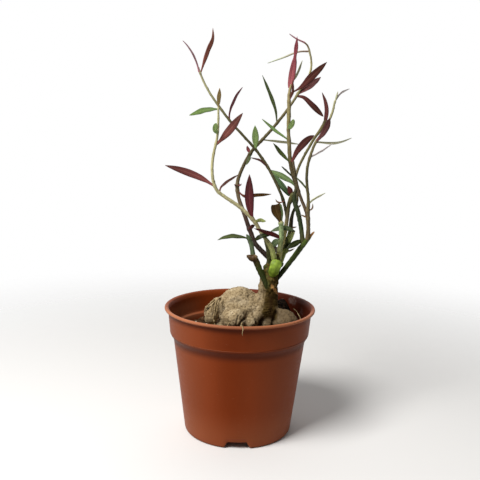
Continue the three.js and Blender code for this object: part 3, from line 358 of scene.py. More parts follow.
# The leafy stems with their leaves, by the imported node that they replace
LEAFY_STEMS = {
    "shoot_left": [
        stem("shoot", (253.4, 259, -5.5, 3.4), (252.7, 253, -5.5, 3.3), (251.3, 245, -6, 3.2),
             (249.2, 239, -6.5, 3), (246.4, 234.2, -7, 1)),
        leaf("khaki", 4, 40, (248.4, 238.6, -6.8), (243, 237.2, -9), (233, 236.2, -15), (225, 237.4, -19),
             (217.6, 240, -23)),
    ],
    "stem_pale": [
        stem("pale", (276, 265, -2.5, 4.2), (273.9, 258, -4, 4), (272.2, 250, -6, 3.7),
             (269.1, 244, -7.2, 3.7), (265.5, 238.6, -8.2, 2.7), (262, 233.6, -9.2, 2.6),
             (258.8, 228.4, -10.2, 2.6), (254.9, 222, -11, 2.7), (248, 214.4, -13, 2.6),
             (241, 208, -14, 2.5), (231.8, 201.4, -16, 2.4), (223.6, 196, -17.5, 2.3),
             (217.2, 190.6, -19, 2.2), (213.7, 183, -20.5, 2.1), (212.2, 172.7, -22, 2),
             (212.4, 162, -22.5, 1.9), (214, 152, -23, 1.8), (217.2, 137, -24, 1.6),
             (218.3, 122, -25, 1.5), (218.3, 106.5, -26, 1.3)),
        stem("shade", (269.4, 266, -1.4, 3.8), (269.2, 257, -2.4, 3.6), (268.3, 250, -4.2, 3.2),
             (266.4, 244, -5.8, 2.4), (264.6, 239.4, -7, 1.6)),
        leaf("claret", 5, 15, (213.9, 186, -20), (205, 180.2, -21), (189, 172.9, -24), (165, 165.3, -30)),
        leaf("clay", 3.6, 65, (219.6, 191.6, -18), (221.4, 186.6, -16), (228.8, 180.4, -13),
             (238.4, 174.8, -10)),
        leaf("sage", 3.6, 15, (217.9, 133, -24.3), (215.4, 129.6, -29), (215.8, 123.2, -35), shape=EGG),
        leaf("russet", 5.4, -10, (217, 144.2, -23.5), (230, 129.8, -29), (242.8, 113, -36)),
        leaf("spring", 4.6, 25, (218.3, 109, -26), (203.4, 110.6, -20), (189.2, 115.3, -14)),
        leaf("bronze", 3.2, 35, (218.3, 107.6, -26), (218.8, 98.3, -28), (219.7, 88, -31)),
        leaf("crimson", 6.2, 5, (252.6, 219.2, -11.6), (250.2, 208, -16), (249.2, 194, -20),
             (249.5, 174.4, -25)),
        leaf("olive", 3.4, 40, (255.2, 221.9, -11), (260.7, 220.2, -17), (266, 221.2, -22)),
        leaf("dusk", 3.3, 20, (269.6, 234.6, -9.6), (265, 235.4, -11), (260.4, 236.6, -11.4),
             (255.2, 239.8, -10), shape=STRAP),
    ],
    "stem_dark": [
        stem("dark", (271.5, 263, -0.5, 3.7), (268, 257, 0, 3.7), (260.5, 249.8, 2, 3.5),
             (255.3, 243.5, 4, 3.3), (252.4, 236.8, 6, 3.3), (249, 228, 8.5, 3.2), (245.4, 217.3, 11, 3),
             (242.3, 208.4, 13, 2.9), (239.3, 200, 15, 2.8), (237.4, 190, 16.5, 2.7),
             (237.8, 181, 17, 2.6), (240.6, 172.4, 17, 2.5), (246.5, 160, 16.5, 2.4),
             (253.5, 149, 15.5, 2.4), (261.6, 140.5, 14.5, 2.2), (271.8, 129.3, 13, 2.1),
             (281.3, 117.8, 12, 2), (289, 107.5, 11.5, 1.9), (296, 97, 12, 1.8), (302.5, 85.5, 13, 1.6),
             (309, 75.5, 14, 1.5), (311.4, 65, 13, 1.4), (310.2, 54.5, 10, 1.3), (307.6, 45.8, 7, 1.2),
             (304, 42.2, 4, 1)),
        leaf("blush", 4, 50, (237.8, 191, 16), (244.5, 196.2, 13), (256, 195, 9), (271.4, 194.2, 4)),
        leaf("plum", 1.2, 30, (237.4, 185.4, 16.4), (235.6, 185.4, 14), (234.2, 184.4, 12)),
        leaf("plum", 1.2, 30, (238, 185, 16.4), (240, 185.2, 14.6), (241.6, 183.8, 13)),
        leaf("maroon", 3, 20, (248.2, 229.4, 6.4), (250.6, 227.6, 6.6), (252.8, 226.2, 8),
             (254.8, 225.6, 10)),
        leaf("moor", 3, 30, (250, 154.6, 16), (248.6, 160, 9), (246.4, 164.8, 3)),
        leaf("wine", 2.6, 0, (250.6, 153.6, 15.8), (248.4, 150, 21), (247, 145.8, 26)),
        leaf("reed", 2.6, 55, (262.2, 139.8, 14.4), (281.7, 141.8, 18), (300, 144.4, 22)),
        leaf("pine", 3.7, 40, (277, 123, 12.5), (275.4, 110, 16), (270.3, 95, 21), (262.4, 75.3, 28)),
        leaf("maroon", 3.9, 10, (296.6, 96, 12), (303.6, 97.4, 11), (312.3, 105.2, 9.6),
             (323.4, 116.6, 8), shape=LATE),
        leaf("brick", 5.4, -20, (298, 94, 12), (303, 90.6, 14), (311, 84.6, 17), (320.9, 77.1, 21)),
        leaf("ash", 2.8, 60, (310, 51.2, 9), (298.3, 51.7, 12), (285, 56.8, 16), (267.5, 63.2, 21)),
        leaf("pink", 1.8, 50, (304.6, 42.4, 4.2), (296.8, 38.8, 1), (289.2, 33.8, -2)),
    ],
    "stem_middle": [
        stem("middle", (277.4, 266, 1, 4), (278.4, 260, 1, 4.2), (279.6, 250, 1.8, 4),
             (282.4, 241, 2.5, 3.6), (285, 231.5, 2.5, 3.2), (286.6, 222, 2, 2.8), (287.8, 213, 2.5, 2.6),
             (288.8, 205, 2.6, 2.8), (291.2, 198.6, 0.8, 3.6), (293.6, 192.6, -0.8, 3)),
        stem("stub", (279.2, 253, 0.8, 3.4), (280, 247, -1, 3.5), (280.9, 240, -2.6, 3.5),
             (281.2, 230, -3.6, 3.4), (281, 223, -4.3, 3.1), (280.8, 220.4, -4.6, 2.2)),
        leaf("slate", 4.2, -15, (289.4, 195.8, 3.6), (285.2, 189.8, 5), (279.6, 182.8, 8),
             (272.6, 175, 12), shape=EGG),
        leaf("ruby", 4, 10, (291.8, 197, 3.4), (290.2, 191.2, 1.6), (287.8, 185.8, 0.2)),
        leaf("garnet", 3.3, 15, (280, 237.6, -3.2), (273.1, 234.5, -9), (266.8, 232.7, -13),
             (260.6, 230.4, -17), (254, 228.5, -20), shape=TAPER),
        leaf("bract", 3.8, 10, (279.6, 252.4, 0.6), (277, 250.2, 0.2), (273.6, 246.8, 0)),
        leaf("jade", 5.4, 25, (281, 241, 2.4), (276, 242.4, 5.2), (270.8, 247.3, 8)),
        leaf("cup", 7.2, 15, (280.4, 222.6, -4.6), (278.2, 216, -6), (276, 210, -7.2), (275.6, 203.8, -9),
             shape=BLUNT, dip=1.2),
        leaf("moss", 3, 60, (281.6, 222, -3.6), (282.2, 214, -4.6), (281.4, 208, -6), (280.2, 204.4, -8),
             shape=SPOON),
    ],
    "stem_cross": [
        stem("cross", (287, 220, 4.6, 2.2), (286.4, 214, 4.4, 2.2), (284.8, 206.4, 2.8, 2.2),
             (282.7, 198.6, 0.2, 2.2), (279.3, 190, -2.4, 2), (274.2, 179, -4.2, 2),
             (269.4, 169.8, -5.2, 2), (263.9, 161, -6, 2), (255.5, 149.4, -7, 1.9),
             (245.6, 138.2, -8.5, 1.8), (232.5, 124, -10, 1.7), (219.5, 107, -12, 1.7),
             (209.7, 92.8, -13, 1.5), (203.3, 80.8, -14, 1.4), (199.8, 72, -15, 1.3),
             (198, 66.5, -15.5, 1.2)),
        leaf("plum", 3, 60, (229.4, 120.4, -10.4), (229.6, 113.4, -12), (232.8, 103, -16.6),
             (237.4, 94, -21), (242.6, 87.1, -25)),
        leaf("pink", 2.4, 60, (199.2, 72, -15.4), (197, 63.6, -17), (192.4, 53.2, -20),
             (187.4, 45.6, -23), (182.7, 40.5, -26)),
        leaf("clay", 3.4, 40, (200.4, 73.5, -15), (207.4, 51.9, -9), (212.8, 38.3, -3), (212.9, 28, 1)),
        leaf("sage", 4.6, 0, (255.8, 149.6, -7), (255.4, 137, -12), (255, 125.4, -17)),
        leaf("garnet", 3.6, 65, (267.4, 166.6, -5.5), (260, 160.4, -10), (251.1, 157.7, -15)),
        leaf("blush", 1.2, 0, (283.4, 201.4, -1.4), (280.2, 202.6, -2.4), (277, 201.6, -3),
             (275.6, 199, -3)),
    ],
    "stem_behind": [
        stem("behind", (275.8, 272, 2.6, 3.9), (279.2, 264.5, 4.8, 4), (283, 254, 7.4, 4.2),
             (285.8, 246.5, 9, 4.6), (288.6, 238, 10.5, 3.4), (290.6, 228.5, 11, 3.1),
             (291.4, 219.5, 11.5, 2.7), (293.4, 211.3, 11.5, 2.1), (296.3, 205, 11.5, 1.9),
             (297.3, 197.5, 11, 1.7), (296.3, 186.5, 10.5, 1.4)),
        stem("green", (286.2, 247.4, 7.4, 3), (289.4, 240.8, 5.2, 2.8), (291.8, 235.6, 4, 2.7),
             (293.6, 231, 3.4, 2.3)),
        leaf("spring", 4.6, 15, (295.6, 186.4, 10.6), (290.6, 181.4, 13), (280.9, 175.8, 17),
             (267.6, 169.6, 22)),
        leaf("jade", 4, 20, (294.8, 231.4, 3.8), (289.6, 229, 0.6), (283, 228, -0.7), (277, 229.2, -1.4),
             (270.4, 231.5, -1.8)),
        leaf("moor", 4.6, 10, (284.4, 250.6, 7.4), (284.8, 244, 4.4), (286.6, 236.6, 3)),
        leaf("dusk", 4.4, 30, (285.6, 249.4, 7.6), (289.4, 245.4, 4), (293.6, 242.4, 1)),
        leaf("olive", 2.8, 20, (287.2, 243.6, 8.4), (288.4, 237, 7), (288.6, 231, 6)),
        leaf("umber", 1.3, 0, (284.2, 250.8, 8), (289.5, 250.8, 6), (294.8, 248.3, 4.2)),
        leaf("umber", 1.1, 0, (290.4, 227.8, 10.8), (294, 227.4, 9), (296.9, 226.8, 8)),
        leaf("umber", 1.4, 0, (296.4, 206.8, 11.3), (299, 206.6, 10), (301, 204.6, 9)),
    ],
    "stem_tall": [
        stem("tall", (303, 245, -5.4, 3.5), (301.9, 235, -5, 3.2), (300.5, 224, -4, 3.1),
             (297.8, 211.5, -3, 3.4), (294.7, 202, -2, 3.2), (294.4, 195, -1.5, 2.7),
             (296.1, 188, -1, 2.3), (294.3, 179, 0, 2.8), (291.6, 169, 0, 2.8), (289.9, 158, 0, 2.8),
             (289.1, 143, 0, 2.7), (288.4, 130, 0, 2.3), (288.8, 118, 0, 2.8), (289, 106, 0, 2.6),
             (289.1, 95, -0.5, 2.1), (291.6, 82, -1, 1.5)),
        stem("side", (294, 182, 0, 2), (296, 175, 1, 2), (298.6, 167.4, 2.5, 1.8), (303.7, 156.9, 5, 1.8),
             (311, 143.9, 8, 1.9), (314.4, 138.3, 10, 1.9), (320.3, 130, 13, 2.1), (323.3, 124.6, 15, 2),
             (325.6, 119.6, 16, 1.7)),
        leaf("maroon", 5, 5, (289.4, 94, -0.4), (300.6, 87.4, -3), (313.1, 75.3, -7), (327, 62, -11),
             shape=STALKED),
        leaf("rose", 4.6, 5, (289.8, 88, -0.8), (291.8, 76, -3), (295, 57, -8), (297.2, 36.6, -14),
             shape=TWISTED),
        leaf("clay", 2.4, 40, (289.2, 101, -0.3), (292.6, 92, -2.2), (292.8, 80.2, -3.2)),
        leaf("reed", 2.8, 55, (291, 84, -1), (297.4, 73.2, 2), (302.4, 60.4, 6)),
        leaf("moss", 3.4, 40, (288.6, 140, 0), (274.4, 129.9, -4), (261.9, 118.9, -9)),
        leaf("sage", 3.6, 15, (288.6, 129.4, 0), (291.6, 124.6, -6), (293.4, 119.4, -12), shape=EGG),
        leaf("fern", 3.6, 30, (289.6, 162, 0), (280.8, 152.8, -5), (273.2, 143.2, -10)),
        leaf("pine", 3, 60, (292, 176, 0), (286.2, 170.6, -6), (281.6, 166.4, -11)),
        leaf("dusk", 4.2, 10, (302.6, 239.6, -5.4), (297, 242.6, -8), (291.6, 245.6, -10),
             (286.5, 249, -11)),
        leaf("claret", 3.4, 20, (325.2, 121.4, 15.6), (326.6, 111, 17), (325.5, 102.4, 18.5),
             (322.1, 92.4, 20), shape=TAPER),
    ],
    "stem_fork": [
        stem("fork", (307, 240.8, -6.8, 3.2), (308.2, 232, -9, 2.9), (308.1, 221, -12, 2.8),
             (307.9, 211, -14, 2.6), (308.4, 201, -16, 2.1), (307.3, 188, -18, 1.9),
             (306.7, 176, -20, 1.9), (308, 164.5, -21, 1.8), (310.7, 155, -22, 1.8),
             (315, 143.8, -23, 1.7), (318.6, 138, -24, 1.6), (324.4, 130, -25, 1.5),
             (329, 120.6, -25.6, 1.5), (332.2, 113, -25.8, 1.5), (334.3, 104.4, -26, 1.3),
             (335.5, 99.8, -26, 1.1)),
        leaf("brick", 4.1, 15, (316.8, 141, -24.4), (322.6, 134, -27), (326.6, 127, -28.4),
             (329.8, 118.2, -29), shape=LATE),
        leaf("reed", 4, 75, (315.8, 142.2, -23), (331.7, 143, -20), (341.7, 141.8, -17),
             (351.6, 138, -14)),
        leaf("straw", 3, 75, (309.8, 157.6, -21.6), (321.6, 151, -24), (332.6, 143.6, -27)),
        leaf("khaki", 3, 65, (307.2, 189, -18), (301.6, 182.6, -15.5), (295.8, 176.8, -13)),
        leaf("reed", 3, 70, (308.2, 204.8, -15.4), (312.6, 200.2, -17), (325.4, 192.9, -21)),
        leaf("umber", 1.1, 0, (307.9, 211.6, -14), (312.3, 208.2, -15), (312.7, 203.4, -16)),
        leaf("reed", 1.2, 0, (335, 101.6, -26), (336.6, 96.4, -26.4), (338, 91.2, -27)),
        leaf("straw", 2.6, 70, (335.1, 101, -26), (341, 93, -25), (349.6, 88.7, -23)),
        leaf("umber", 1.1, 0, (308.1, 218.2, -12.6), (304.2, 216.3, -13.4), (300.6, 214.6, -14)),
    ],
    "stem_lean": [
        stem("lean", (308, 220, -12.6, 2.6), (306.4, 212, -13, 2.5), (303.8, 205.4, -12, 2.3),
             (301, 198.5, -10.5, 2.1), (298.4, 190, -9, 2), (296.4, 181.5, -8, 1.9),
             (294.6, 171, -7.5, 1.8), (293, 160.4, -7, 1.4)),
        leaf("mahogany", 4.7, 10, (292, 161.8, -7.2), (296.8, 151.8, -9.4), (303.2, 143.8, -13),
             (309.2, 138.4, -16), (314.2, 135.4, -18), shape=LATE),
    ],
}


class PotLook(bpy.types.PropertyGroup):
    """The pot's colour and how finely it is turned."""

    colour: bpy.props.FloatVectorProperty(
        name="Plastic", description="Colour of the moulded plastic, as sRGB", subtype="COLOR_GAMMA",
        default=(0.44, 0.165, 0.02), min=0, max=1)
    sides: bpy.props.IntProperty(
        name="Sides", description="Faces round the pot", default=320, min=48)
    step: bpy.props.FloatProperty(
        name="Profile step", description="Longest face down the wall, in millimetres", default=1.6,
        min=0.5)


class SoilLook(bpy.types.PropertyGroup):
    """How coarse the soil is."""

    crumbs: bpy.props.IntProperty(
        name="Crumbs", description="How many loose crumbs lie on the soil", default=2600, min=0)
    crumb_size: bpy.props.FloatProperty(
        name="Crumb size", description="Common width of a crumb, in millimetres", default=1.3,
        min=0.2)
    perlite: bpy.props.IntProperty(
        name="Perlite", description="How many bits of perlite lie on the soil", default=110, min=0)
    perlite_size: bpy.props.FloatProperty(
        name="Perlite size", description="Common width of a bit of perlite, in millimetres",
        default=1.5, min=0.2)


class TuberLook(bpy.types.PropertyGroup):
    """The grain of the tuber's skin."""

    voxel: bpy.props.FloatProperty(
        name="Grain", description="Face size of the tuber's skin", default=0.00055, min=0.0003,
        subtype="DISTANCE", unit="LENGTH", precision=5)
    pits: bpy.props.FloatProperty(
        name="Pit depth", description="Depth of the pits in the skin, in millimetres", default=0.26,
        min=0)


class StemLook(bpy.types.PropertyGroup):
    """How finely stems and leaves are made, and how knobbly the stems are."""

    stem_step: bpy.props.FloatProperty(
        name="Stem step", description="Distance between a stem's rings, in millimetres", default=0.75,
        min=0.3)
    scar_height: bpy.props.FloatProperty(
        name="Scar height", description="Height of the old leaf scars, in millimetres", default=0.22,
        min=0)
    ripple: bpy.props.FloatProperty(
        name="Leaf ripple", description="How far a leaf's margin waves, in millimetres", default=0.16,
        min=0)


class StageLook(bpy.types.PropertyGroup):
    """The light and the floor."""

    key_power: bpy.props.FloatProperty(
        name="Key light", description="Power of the soft light at the left", default=13.0, min=0,
        subtype="POWER", unit="POWER")
    key_size: bpy.props.FloatProperty(
        name="Key size", description="Width of the soft light", default=0.4, min=0.01,
        subtype="DISTANCE", unit="LENGTH")
    floor_size: bpy.props.FloatProperty(
        name="Floor size", description="Width of the floor", default=3.0, min=1.2,
        subtype="DISTANCE", unit="LENGTH")
    surround: bpy.props.FloatProperty(
        name="Surround", description="Brightness of the backdrop behind the plant", default=1.0, min=0)
    shade: bpy.props.FloatProperty(
        name="Room", description="Brightness of the room in front of the plant", default=0.15, min=0)


def linear(colour):
    """An sRGB colour, as a hex value or three shares, turned to linear: a straight piece near black
    and a power of 2.4 above it. It comes back with a full alpha."""
    if isinstance(colour, str):
        colour = [int(colour[place:place + 2], 16) / 255 for place in (1, 3, 5)]
    colour = np.asarray(colour, float)
    bright = ((colour + 0.055) / 1.055) ** 2.4
    return (*np.where(colour <= 0.04045, colour / 12.92, bright), 1.0)


def blended(stops, shares):
    """Linear colours at shares along a list of (share, hex) stops, with a straight blend between."""
    places = [place for place, _ in stops]
    colours = np.array([linear(colour)[:3] for _, colour in stops])
    return np.stack([np.interp(shares, places, channel) for channel in colours.T], axis=-1)


def ease(low, high, value):
    """A smooth step: 0 below low, 1 above high, and 3t^2 - 2t^3 between."""
    share = np.clip((value - low) / (high - low), 0, 1)
    return share * share * (3 - 2 * share)


def around(count):
    """Angles evenly spaced over one turn, from 0."""
    return np.arange(count) * 2 * math.pi / count


def bell(*offsets):
    """A bell curve of about unit width: e to the minus sum of the squares of its offsets."""
    return np.exp(-sum(offset**2 for offset in offsets))


def waves(points, length, seed, count=28):
    """Smooth noise of about unit size: the sum of plane waves of one length, in directions and with
    phases drawn from the seed."""
    draw = np.random.default_rng(seed)
    directions = draw.normal(size=(count, 3))
    directions /= np.linalg.norm(directions, axis=1, keepdims=True)
    phases = draw.uniform(0, 2 * math.pi, count)
    total = np.sin(points @ directions.T * (2 * math.pi / length) + phases).sum(axis=-1)
    return total * math.sqrt(2 / count)


def curve(points, count):
    """Points evenly spaced along the smooth curve through a route: a Catmull-Rom curve whose knots lie
    the square root of the distance apart, as cubic pieces, walked by length."""
    points = np.asarray(points, float)
    before = 2 * points[0] - points[1]
    after = 2 * points[-1] - points[-2]
    every = np.vstack([before, points, after])
    knots = np.sqrt(np.linalg.norm(np.diff(every[:, :3], axis=0), axis=1))[:, None]
    at = np.linspace(0, len(points) - 1, 60 * len(points))
    piece = np.minimum(at.astype(int), len(points) - 2)
    share = (at - piece)[:, None]
    one, two, three, four = (every[piece + i] for i in range(4))
    gap_one, gap_two, gap_three = (knots[piece + i] for i in range(3))
    leave = ((two - one) / gap_one - (three - one) / (gap_one + gap_two)) * gap_two + three - two
    arrive = ((four - three) / gap_three - (four - two) / (gap_two + gap_three)) * gap_two + three - two
    fine = (
        two + leave * share + (3 * (three - two) - 2 * leave - arrive) * share**2
        + (2 * (two - three) + leave + arrive) * share**3
    )
    walked = walk(fine)
    places = np.linspace(0, walked[-1], count)
    return np.stack([np.interp(places, walked, column) for column in fine.T], axis=-1)


def walk(path):
    """Length walked along a path at each of its points."""
    steps = np.linalg.norm(np.diff(path[:, :3], axis=0), axis=1)
    return np.concatenate([[0.0], np.cumsum(steps)])


def square_to(path, turn=0.0):
    """Three unit directions at each point of a path: across it and the sight line, turned about the
    path by turn, then square to that and the path, and along the path."""
    along = np.gradient(path, axis=0)
    along /= np.linalg.norm(along, axis=1, keepdims=True)
    flat = np.cross(along, FORWARD)
    flat /= np.linalg.norm(flat, axis=1, keepdims=True)
    turn = np.broadcast_to(turn, len(path))[:, None]
    across = flat * np.cos(turn) + np.cross(along, flat) * np.sin(turn)
    return across, np.cross(along, across), along


class Shells:
    """Closed shells gathered for one mesh, with a tint and a place on the skin at every point."""

    def __init__(self):
        self.points, self.faces, self.tints, self.places = [], [], [], []
        self.count = 0

    def add(self, rings, tint=(1.0, 1.0, 1.0), place=(0.0, 0.0, 0.0)):
        """Adds one shell: rings by corners by xyz, each ring turning to the right about the way that
        the rings follow, with both ends drawn together to their middle points."""
        rows, corners = rings.shape[:2]
        index = np.arange(rows * corners).reshape(rows, corners) + self.count
        beside = np.roll(index, -1, axis=1)
        sides = np.stack([index[:-1], beside[:-1], beside[1:], index[1:]], axis=-1)
        start, end = self.count + rows * corners, self.count + rows * corners + 1
        self.faces += sides.reshape(-1, 4).tolist()
        self.faces += np.stack([beside[0], index[0], np.full(corners, start)], axis=-1).tolist()
        self.faces += np.stack([index[-1], beside[-1], np.full(corners, end)], axis=-1).tolist()
        kept = ((self.points, rings), (self.tints, tint), (self.places, place))
        for store, values in kept:
            values = np.broadcast_to(values, (rows, corners, 3))
            store.append(np.vstack([values.reshape(-1, 3), values[[0, -1]].mean(axis=1)]))
        self.count += rows * corners + 2

    def mesh(self, name):
        """The shells as one mesh, with the point attributes tint and place."""
        made = bpy.data.meshes.new(name)
        made.from_pydata(((np.vstack(self.points) + POT_AXIS) * MM).tolist(), [], self.faces)
        note(made, "tint", np.vstack(self.tints))
        note(made, "place", np.vstack(self.places))
        made.shade_smooth()
        return made


def note(mesh, name, values):
    """Keeps a value for each point of a mesh as an attribute: a vector, or a number."""
    kind, key = ("FLOAT", "value") if values.ndim == 1 else ("FLOAT_VECTOR", "vector")
    attribute = mesh.attributes.new(name, kind, "POINT")
    attribute.data.foreach_set(key, np.ascontiguousarray(values, np.float32).ravel())


def points_of(mesh, normals=False):
    """A mesh's points in millimetres from the pot's axis, or its points' normals."""
    values = np.empty(len(mesh.vertices) * 3, np.float32)
    if normals:
        mesh.vertex_normals.foreach_get("vector", values)
        return values.reshape(-1, 3).astype(float)
    mesh.vertices.foreach_get("co", values)
    return values.reshape(-1, 3) / MM - POT_AXIS


def new_piece(name, mesh, material, slot, *nodes):
    """Shows a mesh as a piece of the plant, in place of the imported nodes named."""
    piece = bpy.data.objects.new(name, mesh)
    bpy.context.scene.collection.objects.link(piece)
    mesh.materials.clear()
    mesh.materials.append(material)
    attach(piece, "root")
    if nodes:
        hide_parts(*nodes)
    return piece


def finished(mesh, *modifiers):
    """A mesh with modifiers applied, each given as its type and its settings."""
    holder = bpy.data.objects.new("holder", mesh)
    bpy.context.scene.collection.objects.link(holder)
    for kind, settings in modifiers:
        modifier = holder.modifiers.new(kind, kind)
        for name, value in settings.items():
            setattr(modifier, name, value)
    graph = bpy.context.evaluated_depsgraph_get()
    made = bpy.data.meshes.new_from_object(holder.evaluated_get(graph))
    bpy.data.objects.remove(holder)
    made.shade_smooth()
    return made


# Sockets of a Mix node that blends colours
SHARE, FIRST, SECOND = 0, 6, 7


def feed(tree, node, inputs):
    """Fills a node's inputs, each from a socket, from another node's first output in use, or with a
    plain value."""
    for socket, source in inputs.items():
        if isinstance(source, bpy.types.Node):
            source = next(output for output in source.outputs if output.enabled)
        if isinstance(source, bpy.types.NodeSocket):
            tree.links.new(source, node.inputs[socket])
        else:
            node.inputs[socket].default_value = source


def add(tree, kind, inputs=None, stops=(), **settings):
    """Adds one node with its settings and inputs. Stops are a colour ramp's, as (place, colour)."""
    made = tree.nodes.new("ShaderNode" + kind)
    for name, value in settings.items():
        setattr(made, name, value)
    feed(tree, made, inputs or {})
    for number, (place, colour) in enumerate(stops):
        ends = made.color_ramp.elements
        stop = ends[number] if number < 2 else ends.new(place)
        stop.position, stop.color = place, linear(colour)
    return made


def new_material(name, roughness, specular=0.5, ior=1.45):
    """A material with one Principled shader: the material, its tree and the shader."""
    material = bpy.data.materials.new(name)
    material.use_nodes = True
    tree = material.node_tree
    shader = tree.nodes["Principled BSDF"]
    feed(tree, shader, {"Roughness": roughness, "Specular IOR Level": specular, "IOR": ior})
    return material, tree, shader


def sized(where, size, **inputs):
    """The inputs of a pattern whose lumps are size millimetres wide, on coordinates in metres."""
    return {"Vector": where, "Scale": 1 / (size * MM), **inputs}


def layered(tree, colour, layers):
    """A colour with layers over it. Each layer is its share, as a node or the name of a point
    attribute, and its colour, as a node or a hex value."""
    for share, over in layers:
        if isinstance(share, str):
            share = add(tree, "Attribute", attribute_name=share).outputs["Fac"]
        if isinstance(over, str):
            over = linear(over)
        colour = add(tree, "Mix", {SHARE: share, FIRST: colour, SECOND: over}, data_type="RGBA")
    return colour


def dress(tree, shader, colour, height, strength, depth):
    """Gives a shader its colour and its relief, which is up to depth millimetres deep."""
    bump = add(tree, "Bump", {"Height": height, "Strength": strength, "Distance": depth * MM})
    feed(tree, shader, {"Base Color": colour, "Normal": bump})


def polypropylene(colour):
    """Injection-moulded polypropylene: an even satin colour, a faint cloudiness from the melt's flow,
    pale scuffs round the wall, a paler tint that is partly dust and partly painted highlight and painted
    light, a darker tint that is mostly painted shade, and white limescale where watering dried."""
    material, tree, shader = new_material("moulded_polypropylene", 0.42, 0.07, ior=1.49)
    where = add(tree, "TexCoord").outputs["Object"]
    tall = add(tree, "Mapping", {"Vector": where, "Scale": (1, 1, 0.22)})
    cloud = add(tree, "TexNoise", sized(tall, 26, Detail=3, Roughness=0.55))
    base = add(tree, "ValToRGB", {"Fac": cloud}, stops=[
        (0.3, np.array(colour) * 0.95), (0.72, np.array(colour) * 1.05)])
    flat = add(tree, "Mapping", {"Vector": where, "Scale": (1, 1, 3.4)})
    marks = add(tree, "TexNoise", sized(flat, 5, Detail=8, Roughness=0.72))
    scuffed = add(tree, "MapRange", {"Value": marks, "From Min": 0.63, "From Max": 0.8, "To Max": 0.3})
    stain = add(tree, "Attribute", attribute_name="limescale").outputs["Fac"]
    speckle = add(tree, "TexNoise", sized(where, 1.6, Detail=6, Roughness=0.8))
    patchy = add(tree, "Math", {0: stain, 1: speckle}, operation="MULTIPLY")
    chalk = add(tree, "MapRange", {"Value": patchy, "From Min": 0.38, "From Max": 0.68, "To Max": 0.42})
    # The paler layer is partly dust and partly painted highlight and light; the darker layer is painted
    # shade outside and a darkening at the inner right.
    marks_and_painted_light_and_shade = layered(tree, base, [
        (scuffed, "#B98A74"), ("dust_and_painted_light", "#B27452"), ("darkening_and_painted_shade", "#34120A"), (chalk, "#8E8078")])
    gloss = add(tree, "MapRange", {
        "Value": marks, "From Min": 0.3, "From Max": 0.75, "To Min": 0.34, "To Max": 0.56})
    feed(tree, shader, {"Roughness": gloss})
    peel = add(tree, "TexNoise", sized(where, 2.2, Detail=2, Roughness=0.55))
    dress(tree, shader, marks_and_painted_light_and_shade, peel, 0.12, 0.3)
    return material


def tuber_skin():
    """Dry corky skin: pale buff ridges, darker in its pits and creases as painted shade, and over the
    trunk a dark bark, green where it is young, with a darker band down its front as painted shade.
    Painted shade also darkens the right lobes and the wedge, and the skin is darker low by the soil and
    at the neck. The torn scar shows orange wood."""
    material, tree, shader = new_material("corky_tuber_skin", 0.88, 0.1)
    where = add(tree, "TexCoord").outputs["Object"]
    patches = add(tree, "TexNoise", sized(where, 7, Detail=5, Roughness=0.6))
    buff = add(tree, "ValToRGB", {"Fac": patches}, stops=[
        (0.28, "#907C5C"), (0.72, "#BEAC8D"), (0.5, "#A69270")])
    fine = add(tree, "TexNoise", sized(where, 1.3, Detail=5, Roughness=0.75))
    flecks = add(tree, "MapRange", {
        "Value": fine, "From Min": 0.36, "From Max": 0.56, "To Min": 0.75, "To Max": 0})
    pores = add(tree, "TexVoronoi", sized(where, 2.6))
    holes = add(tree, "MapRange", {
        "Value": pores, "From Min": 0.1, "From Max": 0.3, "To Min": 0.8, "To Max": 0})
    mottle = add(tree, "TexNoise", sized(where, 2.6, Detail=5, Roughness=0.7))
    bark = add(tree, "ValToRGB", {"Fac": mottle}, stops=[
        (0.3, "#35280D"), (0.75, "#7C6942"), (0.42, "#443414"), (0.52, "#52411E"), (0.62, "#604E28")])
    # Painted shade: a darker band down the trunk's front.
    young = layered(tree, bark, [("trunk_shade_band", "#34220E"), ("young", "#414C24")])
    wood = add(tree, "ValToRGB", {"Fac": fine}, stops=[(0.3, "#8A5222"), (0.7, "#EDBA74")])
    # Painted shade darkens the pits and creases, the right lobes and the wedge; the skin is also darker
    # low by the soil and at the neck.
    skin = layered(tree, buff, [
        (flecks, "#5E4C32"), (holes, "#4A3A26"), ("painted_hollow_shade", "#3E3020"), ("tuber_darkening_and_painted_shade", "#4A3B28"),
        ("bark", young), ("torn", wood)])
    dress(tree, shader, skin, fine, 0.5, 0.4)
    return material


def shaded_tint(tree, noise, least, most):
    """The point attribute tint, made darker and lighter by a noise, from least to most times."""
    tint = add(tree, "Attribute", attribute_name="tint").outputs["Color"]
    shade = add(tree, "MapRange", {
        "Value": noise, "From Min": 0.3, "From Max": 0.7, "To Min": least, "To Max": most})
    return add(tree, "VectorMath", {"Vector": tint, "Scale": shade}, operation="SCALE")


def stem_skin():
    """The waxy skin of a succulent stem: its own tint, streaked along the stem, with small corky
    freckles. On a stem, place holds the cosine and sine round it and the length walked."""
    material, tree, shader = new_material("waxy_stem_skin", 0.5, 0.2)
    place = add(tree, "Attribute", attribute_name="place").outputs["Vector"]
    stretched = add(tree, "Mapping", {"Vector": place, "Scale": (1.6, 1.6, 0.16)})
    streaks = add(tree, "TexNoise", {"Vector": stretched, "Scale": 1.5, "Detail": 5, "Roughness": 0.65})
    streaked = shaded_tint(tree, streaks, 0.55, 1.4)
    where = add(tree, "TexCoord").outputs["Object"]
    spots = add(tree, "TexNoise", sized(where, 0.8, Detail=3, Roughness=0.6))
    corky = add(tree, "MapRange", {"Value": spots, "From Min": 0.6, "From Max": 0.72, "To Max": 0.4})
    freckled = layered(tree, streaked, [(corky, "#8E7E5E")])
    dress(tree, shader, freckled, spots, 0.3, 0.2)
    return material


